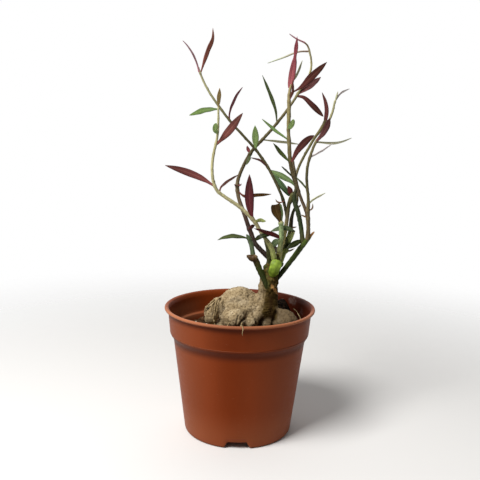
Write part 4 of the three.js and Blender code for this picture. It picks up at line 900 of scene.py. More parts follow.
def leaf_skin():
    """The smooth, slightly waxy skin of a fleshy leaf: its own tint, a paler midrib, a darker margin
    and a fine mottle. On a leaf, place holds the share along it, the side and the length walked."""
    material, tree, shader = new_material("waxy_leaf_skin", 0.45, 0.15)
    place = add(tree, "Attribute", attribute_name="place").outputs["Vector"]
    parts = add(tree, "SeparateXYZ", {"Vector": place})
    side = add(tree, "Math", {0: parts.outputs["Y"]}, operation="ABSOLUTE")
    where = add(tree, "TexCoord").outputs["Object"]
    mottle = add(tree, "TexNoise", sized(where, 1.6, Detail=5, Roughness=0.65))
    mottled = shaded_tint(tree, mottle, 0.82, 1.15)
    darker = add(tree, "VectorMath", {"Vector": mottled, "Scale": 0.5}, operation="SCALE")
    paler = add(tree, "VectorMath", {0: mottled, 1: (1.5, 1.5, 1.5), 2: (0.03, 0.025, 0.015)},
                operation="MULTIPLY_ADD")
    margin = add(tree, "MapRange", {"Value": side, "From Min": 0.55, "To Max": 0.8},
                 interpolation_type="SMOOTHSTEP")
    rib = add(tree, "MapRange", {
        "Value": side, "From Min": 0.04, "From Max": 0.2, "To Min": 0.6, "To Max": 0},
        interpolation_type="SMOOTHSTEP")
    ribbed = layered(tree, mottled, [(margin, darker), (rib, paler)])
    dress(tree, shader, ribbed, mottle, 0.25, 0.2)
    return material


def mottled_matter(name, size, dark, middle, light):
    """A rough natural stuff of three colours, in lumps of a size in millimetres, with relief. The point
    attribute tint makes it darker: the soil and its bits are darker over the heap."""
    material, tree, shader = new_material(name, 0.9, 0.1)
    where = add(tree, "TexCoord").outputs["Object"]
    lumps = add(tree, "TexNoise", sized(where, size, Detail=6, Roughness=0.65))
    ramp = add(tree, "ValToRGB", {"Fac": lumps}, stops=[(0.3, dark), (0.7, light), (0.5, middle)])
    heap_darkening = add(tree, "Attribute", attribute_name="tint").outputs["Vector"]
    darkened_matter = add(tree, "VectorMath", {0: ramp, 1: heap_darkening}, operation="MULTIPLY")
    dress(tree, shader, darkened_matter, lumps, 0.6, 0.4)
    return material


def arc(middle, radius, start, end, count):
    """Points of an arc about a middle, between two angles in degrees."""
    angles = np.radians(np.linspace(start, end, count))
    return np.stack([middle[0] + radius * np.cos(angles), middle[1] + radius * np.sin(angles)], axis=-1)


def eased_corner(before, corner, after, reach, count=5):
    """A corner rounded off: the quadratic Bezier curve from reach before it to reach after it."""
    before, corner, after = (np.asarray(point, float) for point in (before, corner, after))
    start = corner + (before - corner) * reach / np.linalg.norm(before - corner)
    end = corner + (after - corner) * reach / np.linalg.norm(after - corner)
    share = np.linspace(0, 1, count)[:, None]
    return (1 - share) ** 2 * start + 2 * share * (1 - share) * corner + share**2 * end


def pot_profile(step):
    """The pot's wall as one closed outline of radius and height, from the axis under the floor, round
    the foot and the rim, and back to the axis on the floor, with no stretch longer than step. A corner
    is its radius, its height and how far from it its rounding starts."""
    foot_middle = (FOOT_RADIUS + FOOT_FLARE - FOOT_ROUNDING, FOOT_ROUNDING)
    bead_middle = (RIM_RADIUS - BEAD_RADIUS, POT_HEIGHT - BEAD_RADIUS)
    inner_foot = FOOT_RADIUS - FOOT_RING
    collar_foot, collar_z = COLLAR_FOOT
    corners = [
        (AXIS_HOLE, FLOOR_UNDERSIDE, 0), (inner_foot, FLOOR_UNDERSIDE, 0.3), (inner_foot, 0, 0.3),
        arc(foot_middle, FOOT_ROUNDING, -80, -8, 7),
        (*STEP_FOOT, 1.6), (collar_foot, collar_z - 0.8, 1.2), (collar_foot + 0.25, collar_z + 0.3, 0.6),
        (COLLAR_TOP_RADIUS, POT_HEIGHT - 2.9, 0.5),
        arc(bead_middle, BEAD_RADIUS, -120, 95, 14),
        (COLLAR_TOP_RADIUS - 0.2, POT_HEIGHT - 0.5, 0.5), (COLLAR_TOP_RADIUS - WALL, POT_HEIGHT - 3, 0.8),
        (LEDGE_OUTER, LEDGE_Z + 0.5, 0.5), (LEDGE_INNER, LEDGE_Z - 0.3, 0.5),
        (FLOOR_RADIUS + 0.6, FLOOR_TOP + 1.2, 0.6), (FLOOR_RADIUS, FLOOR_TOP, 0),
        (AXIS_HOLE, FLOOR_TOP, 0),
    ]
    outline = []
    for number, corner in enumerate(corners):
        if isinstance(corner, np.ndarray):
            outline += list(corner)
        elif corner[2] == 0:
            outline.append(np.array(corner[:2], float))
        else:
            beside = [corners[number - 1], corners[number + 1]]
            ends = [near[end] if isinstance(near, np.ndarray) else near[:2]
                    for near, end in zip(beside, (-1, 0))]
            outline += list(eased_corner(ends[0], corner[:2], ends[1], corner[2]))
    filled = [outline[0]]
    for point in outline[1:]:
        parts = max(1, math.ceil(np.linalg.norm(point - filled[-1]) / step))
        filled += list(filled[-1] + (point - filled[-1]) * np.linspace(0, 1, parts + 1)[1:, None])
    return np.array(filled)


def notch_height(angles):
    """How far the foot is cut away at each angle: level over a notch's top, sloping to nothing at its
    foot, with the slope's two ends eased."""
    turn = 2 * math.pi / NOTCHES
    off = (angles + math.pi / 2 + turn / 2) % turn - turn / 2
    width = 2 * np.abs(off) * FOOT_RADIUS
    return NOTCH_HEIGHT * (1 - ease(NOTCH_TOP_WIDTH - 0.6, NOTCH_FOOT_WIDTH, width))


def pot_marks(made):
    """Keeps the pot's marks as point attributes: limescale in bells round its stains; a paler tint, which
    is a painted highlight on the rolled rim, painted light on the inner left wall, a paler band at the
    ledge, partly dust and partly painted reflection towards the outer left and right, and paler low on
    the wall; and a darker tint, which is painted shade on the step, on the collar and under the rim, and
    a darkening at the inner right."""
    points, normals = points_of(made), points_of(made, normals=True)
    across, back, height = points.T
    under_rim = height - POT_HEIGHT
    outward = (normals[:, :2] * points[:, :2]).sum(axis=1) / np.hypot(across, back)
    inward = ease(-0.2, 0.5, -outward) * ease(6, 9, height)
    right, left, front = ease(-10, 34, across), 1 - ease(-48, 0, across), 1 - ease(-26, 8, back)
    stains = [bell(*((points - seen([at])[0]) / reach).T) for at, reach in STAINS]
    note(made, "limescale", np.clip(sum(stains), 0, 1) * inward)
    # Painted highlight: the rolled rim is made paler, most at the front.
    lip = ease(-2.2, -1.2, under_rim) * (0.06 + 0.5 * front)
    # A paler band at the ledge inside.
    ledge = 0.3 * bell((height - LEDGE_Z + 0.8) / 1.7) * (1 - right)
    # Painted light: the inner wall is made paler, most at the left where it lies in shade, and less near
    # the rim.
    painted_inner_light = 0.04 + 0.36 * (1 - ease(-47, -26, across)) * (1 - ease(-10, -3, under_rim))
    # Partly dust and partly painted reflection: paler towards the outer left and right edges; also paler
    # low on the wall.
    outside = (1 - inward) * (0.19 * left + 0.14 * right + 0.14 * (1 - ease(4, 30, height)))
    note(made, "dust_and_painted_light", np.clip(inward * (painted_inner_light * (1 - right) + ledge) + lip + outside, 0, 0.8))
    # Painted shade: darker on the step under the collar, on the collar below the rim, and in a band under
    # the rim.
    above_step, above_collar = height - STEP_FOOT[1], height - COLLAR_FOOT[1]
    step = ease(-5, 0, above_step) * (1 - ease(-1.5, 0, above_collar))
    shadow = ease(-6.6, -3.4, under_rim) * (1 - ease(-3, -2.4, under_rim))
    collar = ease(-1, 3, above_collar) * ease(-40, 0, across) * (1 - right)
    outer = 0.6 * step + 0.2 * collar * (1 - step) + 0.4 * shadow
    # The inner right wall is darkened, but not at the front by the lip.
    spared_at_front_lip = 1 - front * ease(-3, -1.6, under_rim)
    note(made, "darkening_and_painted_shade", inward * 0.85 * right * spared_at_front_lip + (1 - inward) * outer)


def pot_mesh(look):
    """The pot: its outline swept round the axis, with the foot drawn up into the notches and drainage
    holes cut through the floor."""
    profile = pot_profile(look.step)
    angles = around(look.sides)
    radius, height = profile[:, :1], profile[:, 1:]
    inner_foot = FOOT_RADIUS - FOOT_RING
    top = np.where(radius < inner_foot + 0.01, FLOOR_UNDERSIDE, NOTCH_BLEND)
    raised = height + notch_height(angles)[None, :] * (1 - height / top)
    height = np.where((radius > inner_foot - 0.5) & (height < top), raised, height)
    shell = Shells()
    swept = np.broadcast_arrays(radius * np.cos(angles), radius * np.sin(angles), height)
    shell.add(np.stack(swept, axis=-1))
    cutters = Shells()
    for turn in around(DRAIN_HOLES):
        middle = DRAIN_CIRCLE * np.array([math.cos(turn), math.sin(turn)])
        ring = arc(middle, DRAIN_HOLE_RADIUS, 0, 360, HOLE_CORNERS + 1)[:-1]
        levels = (FLOOR_UNDERSIDE - 2, FLOOR_TOP + 2)
        cutters.add(np.stack([np.insert(ring, 2, level, axis=1) for level in levels]))
    drill = bpy.data.objects.new("drill", cutters.mesh("drill"))
    bpy.context.scene.collection.objects.link(drill)
    made = finished(shell.mesh("nursery_pot"), ("BOOLEAN", {"object": drill, "solver": "EXACT"}))
    bpy.data.objects.remove(drill)
    pot_marks(made)
    return made


class PLANT_OT_pot(bpy.types.Operator):
    """Turn the plastic nursery pot"""

    bl_idname = "plant.pot"
    bl_label = "Nursery pot"

    def execute(self, context):
        look = context.scene.plant_pot
        new_piece("nursery_pot", pot_mesh(look), polypropylene(look.colour), "pot_plastic", "pot")
        return {"FINISHED"}


def heap_height(x, y):
    """The heap of soil that leans against the wall at the back right: a bell of the distance."""
    return HEAP_HEIGHT * bell((x - HEAP_PLACE[0]) / HEAP_SIZE[0], (y - HEAP_PLACE[1]) / HEAP_SIZE[1])


def heap_shade(x, y):
    """How dark the soil is made over the heap: 1 away from it, and a quarter in its upper half."""
    return 1 - 0.75 * np.clip(heap_height(x, y) / (HEAP_HEIGHT / 2), 0, 1)


def soil_height(x, y):
    """The soil's top: slow mounds as sines, which fade out at the wall, the heap, and a dip at the
    left."""
    mounds = 0.9 * np.sin(x / 4.3 + 1) + 0.8 * np.cos(y / 3.7) + 0.6 * np.sin((x + y) / 2.9)
    to_wall = LEDGE_INNER - np.hypot(x, y)
    dip = SOIL_DIP * ease(15, 38, -x)
    return SOIL_LEVEL + mounds * np.clip(to_wall / 4, 0, 1) + heap_height(x, y) - dip


def soil_mesh():
    """The soil: a disc of rings round the axis, lumpy on top, closed by its side and its underside.
    Where its top rises past the ledge, it is spread outwards to follow the wall."""
    lean = (LEDGE_INNER - FLOOR_RADIUS) / (LEDGE_Z - FLOOR_TOP)
    top_radius = LEDGE_INNER - 0.4 - lean * (LEDGE_Z - SOIL_LEVEL)
    below = [AXIS_HOLE, FOOT_RADIUS - 0.9, FOOT_RADIUS - 0.1, top_radius]
    angles = around(SOIL_CORNERS)
    radius = np.concatenate([below, np.linspace(top_radius - 0.05, AXIS_HOLE, SOIL_RINGS)])
    x, y = radius[:, None] * np.cos(angles), radius[:, None] * np.sin(angles)
    z = soil_height(x, y)
    at = np.stack([x, y, z], axis=-1)
    lumps = 0.42 * waves(at, 3.1, 41) + 0.3 * waves(at, 1.5, 42) + 0.12 * waves(at, 0.8, 43)
    z = z + ease(0, 2.5, top_radius - radius)[:, None] * lumps
    bottom = FLOOR_TOP + 0.3
    z[:2] = bottom
    z[2] = bottom + 1.4
    z[3] = np.minimum(SOIL_LEVEL, z[4]) - 0.1
    wall = np.interp(z, [LEDGE_Z - 1, LEDGE_Z + 0.6, POT_HEIGHT - 3],
                     [top_radius, LEDGE_OUTER - 0.1, COLLAR_TOP_RADIUS - WALL - 0.2])
    spread = 1 + (wall / top_radius - 1) * np.clip(radius / top_radius, 0, 1)[:, None] ** 8
    spread[:len(below)] = 1
    x, y = x * spread, y * spread
    shell = Shells()
    shell.add(np.stack([x, y, z], axis=-1), np.repeat(heap_shade(x, y)[..., None], 3, axis=2))
    return shell.mesh("potting_soil")


def crumb_mesh(seed, count, size):
    """Crumbs strewn over the soil's whole disc: stretched, flattened and turned icosahedra with uneven
    corners, lying a little in the soil, drawn from a seed."""
    draw = np.random.default_rng(seed)
    golden = (1 + math.sqrt(5)) / 2
    corners = np.array([
        (-1, golden, 0), (1, golden, 0), (-1, -golden, 0), (1, -golden, 0),
        (0, -1, golden), (0, 1, golden), (0, -1, -golden), (0, 1, -golden),
        (golden, 0, -1), (golden, 0, 1), (-golden, 0, -1), (-golden, 0, 1),
    ]) / math.hypot(1, golden)
    faces = np.array([
        (0, 11, 5), (0, 5, 1), (0, 1, 7), (0, 7, 10), (0, 10, 11), (1, 5, 9), (5, 11, 4), (11, 10, 2),
        (10, 7, 6), (7, 1, 8), (3, 9, 4), (3, 4, 2), (3, 2, 6), (3, 6, 8), (3, 8, 9), (4, 9, 5),
        (2, 4, 11), (6, 2, 10), (8, 6, 7), (9, 8, 1),
    ])
    radius = CRUMB_REACH * np.sqrt(draw.uniform(0.02, 1, count))
    turn = draw.uniform(0, 2 * math.pi, count)
    x, y = radius * np.cos(turn), radius * np.sin(turn)
    half = size / 2 * np.exp(draw.normal(0, 0.42, count))
    stretch = draw.uniform(0.6, 1.4, (count, 1, 3)) * half[:, None, None] * (1, 1, CRUMB_FLATNESS)
    bumps = 1 + draw.uniform(-0.25, 0.25, (count, len(corners), 1))
    spin = draw.uniform(0, 2 * math.pi, count)
    local = corners * bumps * stretch
    cos, sin = np.cos(spin)[:, None], np.sin(spin)[:, None]
    placed = np.stack([
        x[:, None] + local[..., 0] * cos - local[..., 1] * sin,
        y[:, None] + local[..., 0] * sin + local[..., 1] * cos,
        (soil_height(x, y) + half * 0.25)[:, None] + local[..., 2],
    ], axis=-1)
    made = bpy.data.meshes.new("crumbs")
    every = (faces[None] + len(corners) * np.arange(count)[:, None, None]).reshape(-1, 3)
    made.from_pydata(((placed.reshape(-1, 3) + POT_AXIS) * MM).tolist(), [], every.tolist())
    shade = np.repeat(heap_shade(x, y), len(corners))
    note(made, "tint", np.stack([shade, shade, shade], axis=-1))
    return made


class PLANT_OT_soil(bpy.types.Operator):
    """Fill the pot with crumbly soil"""

    bl_idname = "plant.soil"
    bl_label = "Potting soil"

    def execute(self, context):
        look = context.scene.plant_soil
        peat = mottled_matter("damp_peat", 1.6, "#0F0A06", "#2A1E13", "#5A442C")
        crumb = mottled_matter("peat_crumb", 2.2, "#1A1008", "#442C1A", "#7A5C40")
        grit = mottled_matter("perlite_grit", 0.8, "#8F8570", "#B9AF9A", "#DCD4C2")
        new_piece("potting_soil", soil_mesh(), peat, "potting_soil", "soil")
        new_piece("soil_crumbs", crumb_mesh(11, look.crumbs, look.crumb_size), crumb, "potting_soil")
        new_piece("perlite_bits", crumb_mesh(12, look.perlite, look.perlite_size), grit, "potting_soil")
        return {"FINISHED"}


def lump_rings(at, size, rows=18, corners=28):
    """An ellipsoid about a route point as rings from its bottom to its top, a little uneven."""
    lift = np.linspace(-math.pi / 2, math.pi / 2, rows + 2)[1:-1, None]
    turn = around(corners)
    unit = np.stack(np.broadcast_arrays(
        np.cos(lift) * np.cos(turn), np.cos(lift) * np.sin(turn), np.sin(lift)), axis=-1)
    slow = 1 + 0.04 * waves(unit, 2.2, round(at[0] * 10))
    return seen([at])[0] + unit * np.asarray(size, float) * slow[..., None]


def tube_rings(path, radius, corners):
    """Rings of a round tube about a path: cosine across it and sine square to that."""
    across, up, _ = square_to(path)
    turn = around(corners)[:, None]
    radius = np.broadcast_to(np.asarray(radius).reshape(len(path), -1), (len(path), corners))
    spokes = across[:, None] * np.cos(turn) + up[:, None] * np.sin(turn)
    return path[:, None] + spokes * radius[..., None]


def lump_distance(points, at, size):
    """About how far points lie outside an ellipsoid round a route point: with q the offset over the
    half sizes, |q| (|q| - 1) over the length of q over the half sizes."""
    offset = points - seen([at])[0]
    scaled = np.linalg.norm(offset / size, axis=1)
    return scaled * (scaled - 1) / np.maximum(np.linalg.norm(offset / np.square(size), axis=1), 1e-6)


def merged(one, other, reach):
    """Two distances as one skin: the smaller, less a quarter of the reach times the square of how
    nearly they match, which fills the crease between the two."""
    match = np.maximum(1 - np.abs(one - other) / reach, 0)
    return np.minimum(one, other) - match**2 * reach / 4


def trunk_distance(points, trunk, every):
    """How far points lie outside the trunk, tried at every so many points of its path."""
    path = trunk[None, ::every]
    return (np.linalg.norm(points[:, None] - path[..., :3], axis=-1) - path[..., 3] / 2).min(axis=1)


def tuber_distance(points, trunk):
    """How far points lie outside the tuber's skin: all its shapes and its trunk merged."""
    distance = trunk_distance(points, trunk, 2)
    for shapes, reach in ((TUBER_BODY, BODY_REACH), (TUBER_LOBES, LOBE_REACH), (BARK_KNOBS, KNOB_REACH)):
        for at, size in shapes:
            distance = merged(distance, lump_distance(points, at, size), reach)
    return distance


def drawn_to_skin(points, trunk, rounds=6, nudge=0.05):
    """Points moved onto the tuber's skin: in each round along the distance's slope, by the distance."""
    for _ in range(rounds):
        distance = tuber_distance(points, trunk)
        ahead = [tuber_distance(points + step, trunk) for step in np.eye(3) * nudge]
        slope = (np.stack(ahead, axis=-1) - distance[:, None]) / nudge
        steepness = np.maximum((slope**2).sum(axis=1, keepdims=True), 0.2)
        points = points - slope * (distance[:, None] / steepness).clip(-1.5, 1.5)
    return points


def line_depth(columns, rows, line, width):
    """How near picture points lie to a line of picture points: a bell curve of their distance to its
    nearest stretch, with its width in millimetres."""
    line = np.asarray(line, float)
    at = np.stack([columns, rows], axis=-1)
    nearest = np.full(len(at), np.inf)
    for start, end in zip(line[:-1], line[1:]):
        along = end - start
        share = np.clip(((at - start) @ along) / (along @ along), 0, 1)
        nearest = np.minimum(nearest, np.linalg.norm(at - start - share[:, None] * along, axis=1))
    pixel = EYE_DISTANCE / FOCAL_PIXELS
    return bell(nearest * pixel / width)


def patch(columns, rows, place):
    """How near picture points lie to a patch's middle: a bell curve of their distance over its half
    sizes."""
    (column, row), (wide, high) = place
    return bell((columns - column) / wide, (rows - row) / high)


def put_points(mesh, points):
    """Moves a mesh's points to new places, in millimetres from the pot's axis."""
    mesh.vertices.foreach_set("co", ((points + POT_AXIS) * MM).astype(np.float32).ravel())
    mesh.update()


def bark_share(points, columns, rows, trunk):
    """How far the trunk's bark covers each point: near the trunk, right of the bark's wavy edge, above
    its foot, and not low at the right, where the small tuber joins."""
    near = 1 - ease(5, 8, trunk_distance(points, trunk, 3))
    wavy = columns + 0.9 * waves(points * (1, 1, 0.3), 1.6, 15)
    inside = ease(-4.5, 3, wavy - np.interp(rows, *BARK_EDGE))
    low_right = ease(*BARK_RIGHT_COLUMNS, columns) * ease(*BARK_RIGHT_ROWS, rows)
    return near * inside * (1 - ease(*BARK_FOOT_ROWS, rows)) * (1 - low_right)


def dress_tuber(made, trunk, pit_depth):
    """Pushes the tuber's skin along its normals by slow swells, pits where noise runs high, growth rings
    on the trunk's foot, ribs, rough bark and the creases. The painted shade in its hollows, its bark, the
    darkening that is painted shade on the right lobes and the wedge and is also low by the soil and at
    the neck, and its scar are kept as point attributes."""
    points, normals = points_of(made), points_of(made, normals=True)
    columns, rows = picture_place(points)
    facing = ease(0.1, 0.5, -(normals @ FORWARD))
    bark = bark_share(points, columns, rows, trunk)
    smooth = ease(*SMOOTH_BARK_ROWS, rows)
    crease = sum(deep * line_depth(columns, rows, line, width) for line, deep, width in CREASES) * facing
    pits = ease(1.1, 2.2, waves(points, 1.8, 6)) * pit_depth
    swell = 0.3 * waves(points, 10, 2) + 0.13 * waves(points, 4.4, 3)
    folds = 0.08 * waves(points * (1, 1, 2.2), 3.4, 4) + 0.06 * waves(points, 1.7, 5)
    rings = np.sin(2 * math.pi * points[:, 2] / 1.5 + 0.8 * waves(points, 6, 8))
    growth = 0.3 * patch(columns, rows, RINGED_FOOT) * facing * rings
    rough = 0.13 * waves(points * (1, 1, 0.35), 1.9, 9) + 0.12 * waves(points, 2.6, 10)
    barky = bark * (1 - 0.75 * smooth) * rough
    ribs = 0.12 * patch(columns, rows, RIBBED_SIDE) * facing * waves(points * (1, 1, 0.25), 1.3, 12)
    push = (swell + folds) * (1 - 0.5 * bark) - pits - crease + growth + barky + ribs
    put_points(made, points + normals * push[:, None])

    # Painted shade: the pits and creases are darkened where shade falls in them.
    note(made, "painted_hollow_shade", np.clip(pits / max(pit_depth, 0.01) * 0.4 + crease * 0.6 - growth, 0, 1))
    note(made, "bark", np.clip(bark, 0, 1))
    sprout = 0.8 * patch(columns, rows, GREEN_EYE) * facing
    upper = 1 - ease(*YOUNG_BARK_ROWS, rows + 2 * waves(points, 3.4, 14))
    note(made, "young", np.maximum(sprout, 0.8 * upper * ease(-1, 0.8, waves(points, 2.6, 16))))
    # Painted shade: a darker band down the trunk's front.
    note(made, "trunk_shade_band", 0.8 * smooth * bell((columns - SHADE_BAND_COLUMN) / SHADE_BAND_WIDTH))
    ragged = line_depth(columns, rows, SCAR, SCAR_WIDTH) + 0.16 * waves(points, 1.7, 5)
    note(made, "torn", ease(0.4, 0.8, ragged) * facing)
    # Painted shade on the right lobes and the wedge; the skin is also darkened low by the soil, most at
    # the left, and at the neck.
    low = 1 - ease(0, 9, points[:, 2] - SOIL_LEVEL - 1.2 * waves(points, 6, 13))
    dark_low = (0.04 + 0.34 * (1 - ease(*DARK_LOW_LEFT_COLUMNS, columns))) * low
    right = ease(*SHADE_RIGHT_COLUMNS, columns) * ease(*SHADE_RIGHT_ROWS, rows)
    wedge, neck = patch(columns, rows, SHADED_WEDGE), patch(columns, rows, DARK_NECK)
    note(made, "tuber_darkening_and_painted_shade", np.clip(dark_low + 0.78 * right + 0.3 * wedge + 0.28 * neck, 0, 1))


def tuber_mesh(look):
    """The tuber with its trunk: rough lumps joined, drawn onto the merged skin, meshed finely and
    dressed."""
    rough = Shells()
    for at, size in TUBER_BODY + TUBER_LOBES + BARK_KNOBS:
        rough.add(lump_rings(at, size))
    trunk = curve(seen(TRUNK), 80)
    rough.add(tube_rings(trunk[:, :3], trunk[:, 3] / 2, 28))
    joined = finished(rough.mesh("tuber"), ("REMESH", {"mode": "VOXEL", "voxel_size": look.voxel * 1.6}))
    put_points(joined, drawn_to_skin(points_of(joined), trunk))
    grown = ("REMESH", {"mode": "VOXEL", "voxel_size": look.voxel})
    made = finished(joined, grown, ("SMOOTH", {"factor": 0.5, "iterations": 3}))
    dress_tuber(made, trunk, look.pits)
    return made


class PLANT_OT_tuber(bpy.types.Operator):
    """Grow the swollen tuber and its short trunk"""

    bl_idname = "plant.tuber"
    bl_label = "Tuber"

    def execute(self, context):
        mesh = tuber_mesh(context.scene.plant_tuber)
        new_piece("tuber_and_trunk", mesh, tuber_skin(), "tuber_bark", "caudex")
        return {"FINISHED"}


def rounded_ends(path, radius):
    """A tube's radius with both its ends rounded off, as on a circle."""
    walked = walk(path)
    to_end = np.minimum(walked, walked[-1] - walked)
    share = np.clip(to_end / np.maximum(radius, 0.2), 0, 1)
    return radius * np.sqrt(np.maximum(1 - (1 - share) ** 2, 0.02))


class PLANT_OT_roots(bpy.types.Operator):
    """Lay the dry rootlets over the tuber, one of them over the rim"""

    bl_idname = "plant.roots"
    bl_label = "Dry roots"

    def execute(self, context):
        shells = Shells()
        for number, route in enumerate(ROOTS):
            placed = curve(seen(route), ROOT_RINGS)
            path = placed[:, :3]
            wander = np.stack([waves(path, 5, 60 + number + 20 * axis) for axis in range(3)], axis=-1)
            path = path + 0.12 * wander
            radius = placed[:, 3] / 2 * (1 + 0.16 * waves(path, 2, 90 + number))
            shells.add(tube_rings(path, rounded_ends(path, radius), ROOT_CORNERS))
        fibre = mottled_matter("dry_root", 1.3, "#66543A", "#8C7856", "#AE9A76")
        new_piece("dry_roots", shells.mesh("dry_roots"), fibre, "tuber_bark")
        return {"FINISHED"}


def stem_shell(shells, grown, look, seed, leaf_roots=()):
    """Adds a stem: a round tube along its route, a little swollen where its leaves leave it, with old
    leaf scars that climb it in a spiral as small raised bells."""
    route = seen(grown["route"])
    count = max(8, round(walk(curve(route, 40))[-1] / look.stem_step))
    placed = curve(route, count)
    path, radius = placed[:, :3], placed[:, 3] / 2
    walked = walk(path)
    for root in leaf_roots:
        far = np.linalg.norm(path - root, axis=1)
        if far.min() < NODE_REACH:
            radius = radius * (1 + 0.16 * bell((walked - walked[far.argmin()]) / 1.2))
    draw = np.random.default_rng(seed)
    turn = around(STEM_CORNERS)
    evenly = np.arange(3, walked[-1], SCAR_STEP)
    scar_at = evenly + draw.uniform(-0.9, 0.9, len(evenly))
    scar_turn = np.arange(len(scar_at)) * SCAR_TURN + draw.uniform(0, 6)
    gap = (turn[None, :, None] - scar_turn + math.pi) % (2 * math.pi) - math.pi
    off_along, off_round = walked[:, None, None] - scar_at, gap * radius[:, None, None]
    scars = bell(off_along / 0.6, off_round / 0.55).sum(axis=-1)
    base = rounded_ends(path, radius)
    rough = 0.035 * waves(tube_rings(path, base, STEM_CORNERS), 2.6, seed + 1) * radius[:, None]
    relief = (scars * look.scar_height + rough) * (base / radius)[:, None]
    rings = tube_rings(path, base[:, None] + relief, STEM_CORNERS)
    colours = STEM_COLOURS[grown["colour"]]
    tint = blended(colours, walked / walked[-1])[:, None] * (1 - 0.3 * np.clip(scars, 0, 1))[..., None]
    place = np.stack(np.broadcast_arrays(np.cos(turn), np.sin(turn), walked[:, None]), axis=-1)
    shells.add(rings, tint, place)


def leaf_shell(shells, grown, look, seed, thick=(1.15, 0.5), fold=0.16):
    """Adds a leaf: lens-shaped rings along its midrib, drawn in and out to its outline, folded a little
    along the midrib, with a groove above, a keel below and a margin that ripples in a sine. Thick is
    its thickness in millimetres at its root and at its margin and tip."""
    share = (1 - np.cos(np.linspace(0, math.pi, LEAF_RINGS))) / 2
    fine = curve(seen(grown["midrib"]), 240)
    walked = walk(fine)
    length = walked[-1]
    path = np.stack([np.interp(share * length, walked, column) for column in fine.T], axis=-1)
    outline = curve(np.insert(np.array(grown["shape"], float), 2, 0, axis=1), 200)
    half = np.interp(share, outline[:, 0], outline[:, 1]) * grown["width"] / 2
    half = np.maximum(half, 0.5 * (1 - ease(0, 0.25, share)) + 0.06)
    body = np.interp(share, [0, 0.15, 0.6, 1], [thick[0], thick[0] * 0.9, thick[0] * 0.75, thick[1]]) / 2
    body = body * np.sqrt(np.clip((1 - share) / 0.03, 0.05, 1))
    margin = (thick[1] / 2 / np.maximum(body, 0.05))[:, None]
    across, up, along = (way[:, None] for way in square_to(path, grown["turn"]))
    share, half, body = share[:, None], half[:, None], body[:, None]
    turn = around(LEAF_CORNERS)
    side, face = np.cos(turn), np.sin(turn)
    draw = np.random.default_rng(seed)
    ripples, phase = draw.uniform(1.6, 3.4), draw.uniform(0, 6, 2)[(side > 0).astype(int)]
    depth = body * face * (margin + (1 - margin) * (1 - side**2))
    groove = 0.12 * grown["ribbed"] * bell(side / 0.16) * (face > 0) * ease(0.02, 0.2, 1 - share)
    keel = 0.16 * bell(side / 0.2) * (face < 0) * ease(0.02, 0.3, 1 - share)
    ripple = look.ripple * np.abs(side) ** 2.5 * np.sin(2 * math.pi * ripples * share + phase)
    ripple = ripple * np.sin(math.pi * share) * np.minimum(grown["width"] / 4, 1.2)
    rise = fold * half * (np.abs(side) - 0.5)
    height = depth + rise + ripple - groove - keel
    dip = grown["dip"] * ease(0.6, 1, share) * (1 - side**2)
    rings = (path[:, None] + across * (half * side)[..., None] + up * height[..., None]
             - along * dip[..., None])
    root, tip = LEAF_COLOURS[grown["colour"]]
    tint = blended([(0, root), (0.8, tip)], share)
    pick = np.exp(draw.normal(0, 0.07))
    marked = side
    if not grown["ribbed"]:
        pick = np.exp(0.16 * waves(rings, 3.2, seed))[..., None]
        marked = 0.4 + 0.2 * side
    place = np.stack(np.broadcast_arrays(share, marked, share * length), axis=-1)
    shells.add(rings, tint * pick, place)


class PLANT_OT_leafy_stems(bpy.types.Operator):
    """Grow the leafy stems, one piece for each stem's wood and one for its leaves"""

    bl_idname = "plant.leafy_stems"
    bl_label = "Leafy stems"

    def execute(self, context):
        look = context.scene.plant_stems
        wood, skin = stem_skin(), leaf_skin()
        slots = {row["node"]: row["material_slot"] for row in frame["record"]["subparts"]}
        for number, (node, parts) in enumerate(LEAFY_STEMS.items()):
            routes = [part for part in parts if "route" in part]
            blades = [part for part in parts if "midrib" in part]
            roots = [seen(blade["midrib"][:1])[0] for blade in blades]
            stems, leaves = Shells(), Shells()
            for place, grown in enumerate(routes):
                stem_shell(stems, grown, look, 100 * number + place, roots)
            for place, grown in enumerate(blades):
                leaf_shell(leaves, grown, look, 100 * number + place + 50)
            new_piece(node + "_wood", stems.mesh(node), wood, slots[node], node)
            new_piece(node + "_leaves", leaves.mesh(node), skin, slots[node], node)
        return {"FINISHED"}


class PLANT_OT_cut_branches(bpy.types.Operator):
    """Grow the pruned stub at the left and the green branch at the right, with their dried cuts"""

    bl_idname = "plant.cut_branches"
    bl_label = "Cut branches"

    def execute(self, context):
        look = context.scene.plant_stems
        wood = bpy.data.materials["waxy_stem_skin"]
        stub, branch = Shells(), Shells()
        stem_shell(stub, STUB_LEFT, look, 901)
        stem_shell(stub, STUB_LIP, look, 903)
        stem_shell(branch, BRANCH_RIGHT, look, 902)
        new_piece("stub_left_wood", stub.mesh("stub_left"), wood, "cut_stub", "stub_left")
        new_piece("branch_right_wood", branch.mesh("branch_right"), wood, "right_branch", "branch_right")
        return {"FINISHED"}


class PLANT_OT_young_leaf(bpy.types.Operator):
    """Grow the swollen young leaf on the trunk"""

    bl_idname = "plant.young_leaf"
    bl_label = "Young leaf"

    def execute(self, context):
        shells = Shells()
        look = context.scene.plant_stems
        leaf_shell(shells, YOUNG_LEAF, look, 904, thick=(3.0, 1.6), fold=-0.1)
        leaf_shell(shells, YOUNG_BUD, look, 905, thick=(1.6, 0.8))
        skin = bpy.data.materials["waxy_leaf_skin"]
        new_piece("young_leaf_blade", shells.mesh("young_leaf"), skin, "young_leaf", "young_leaf")
        return {"FINISHED"}


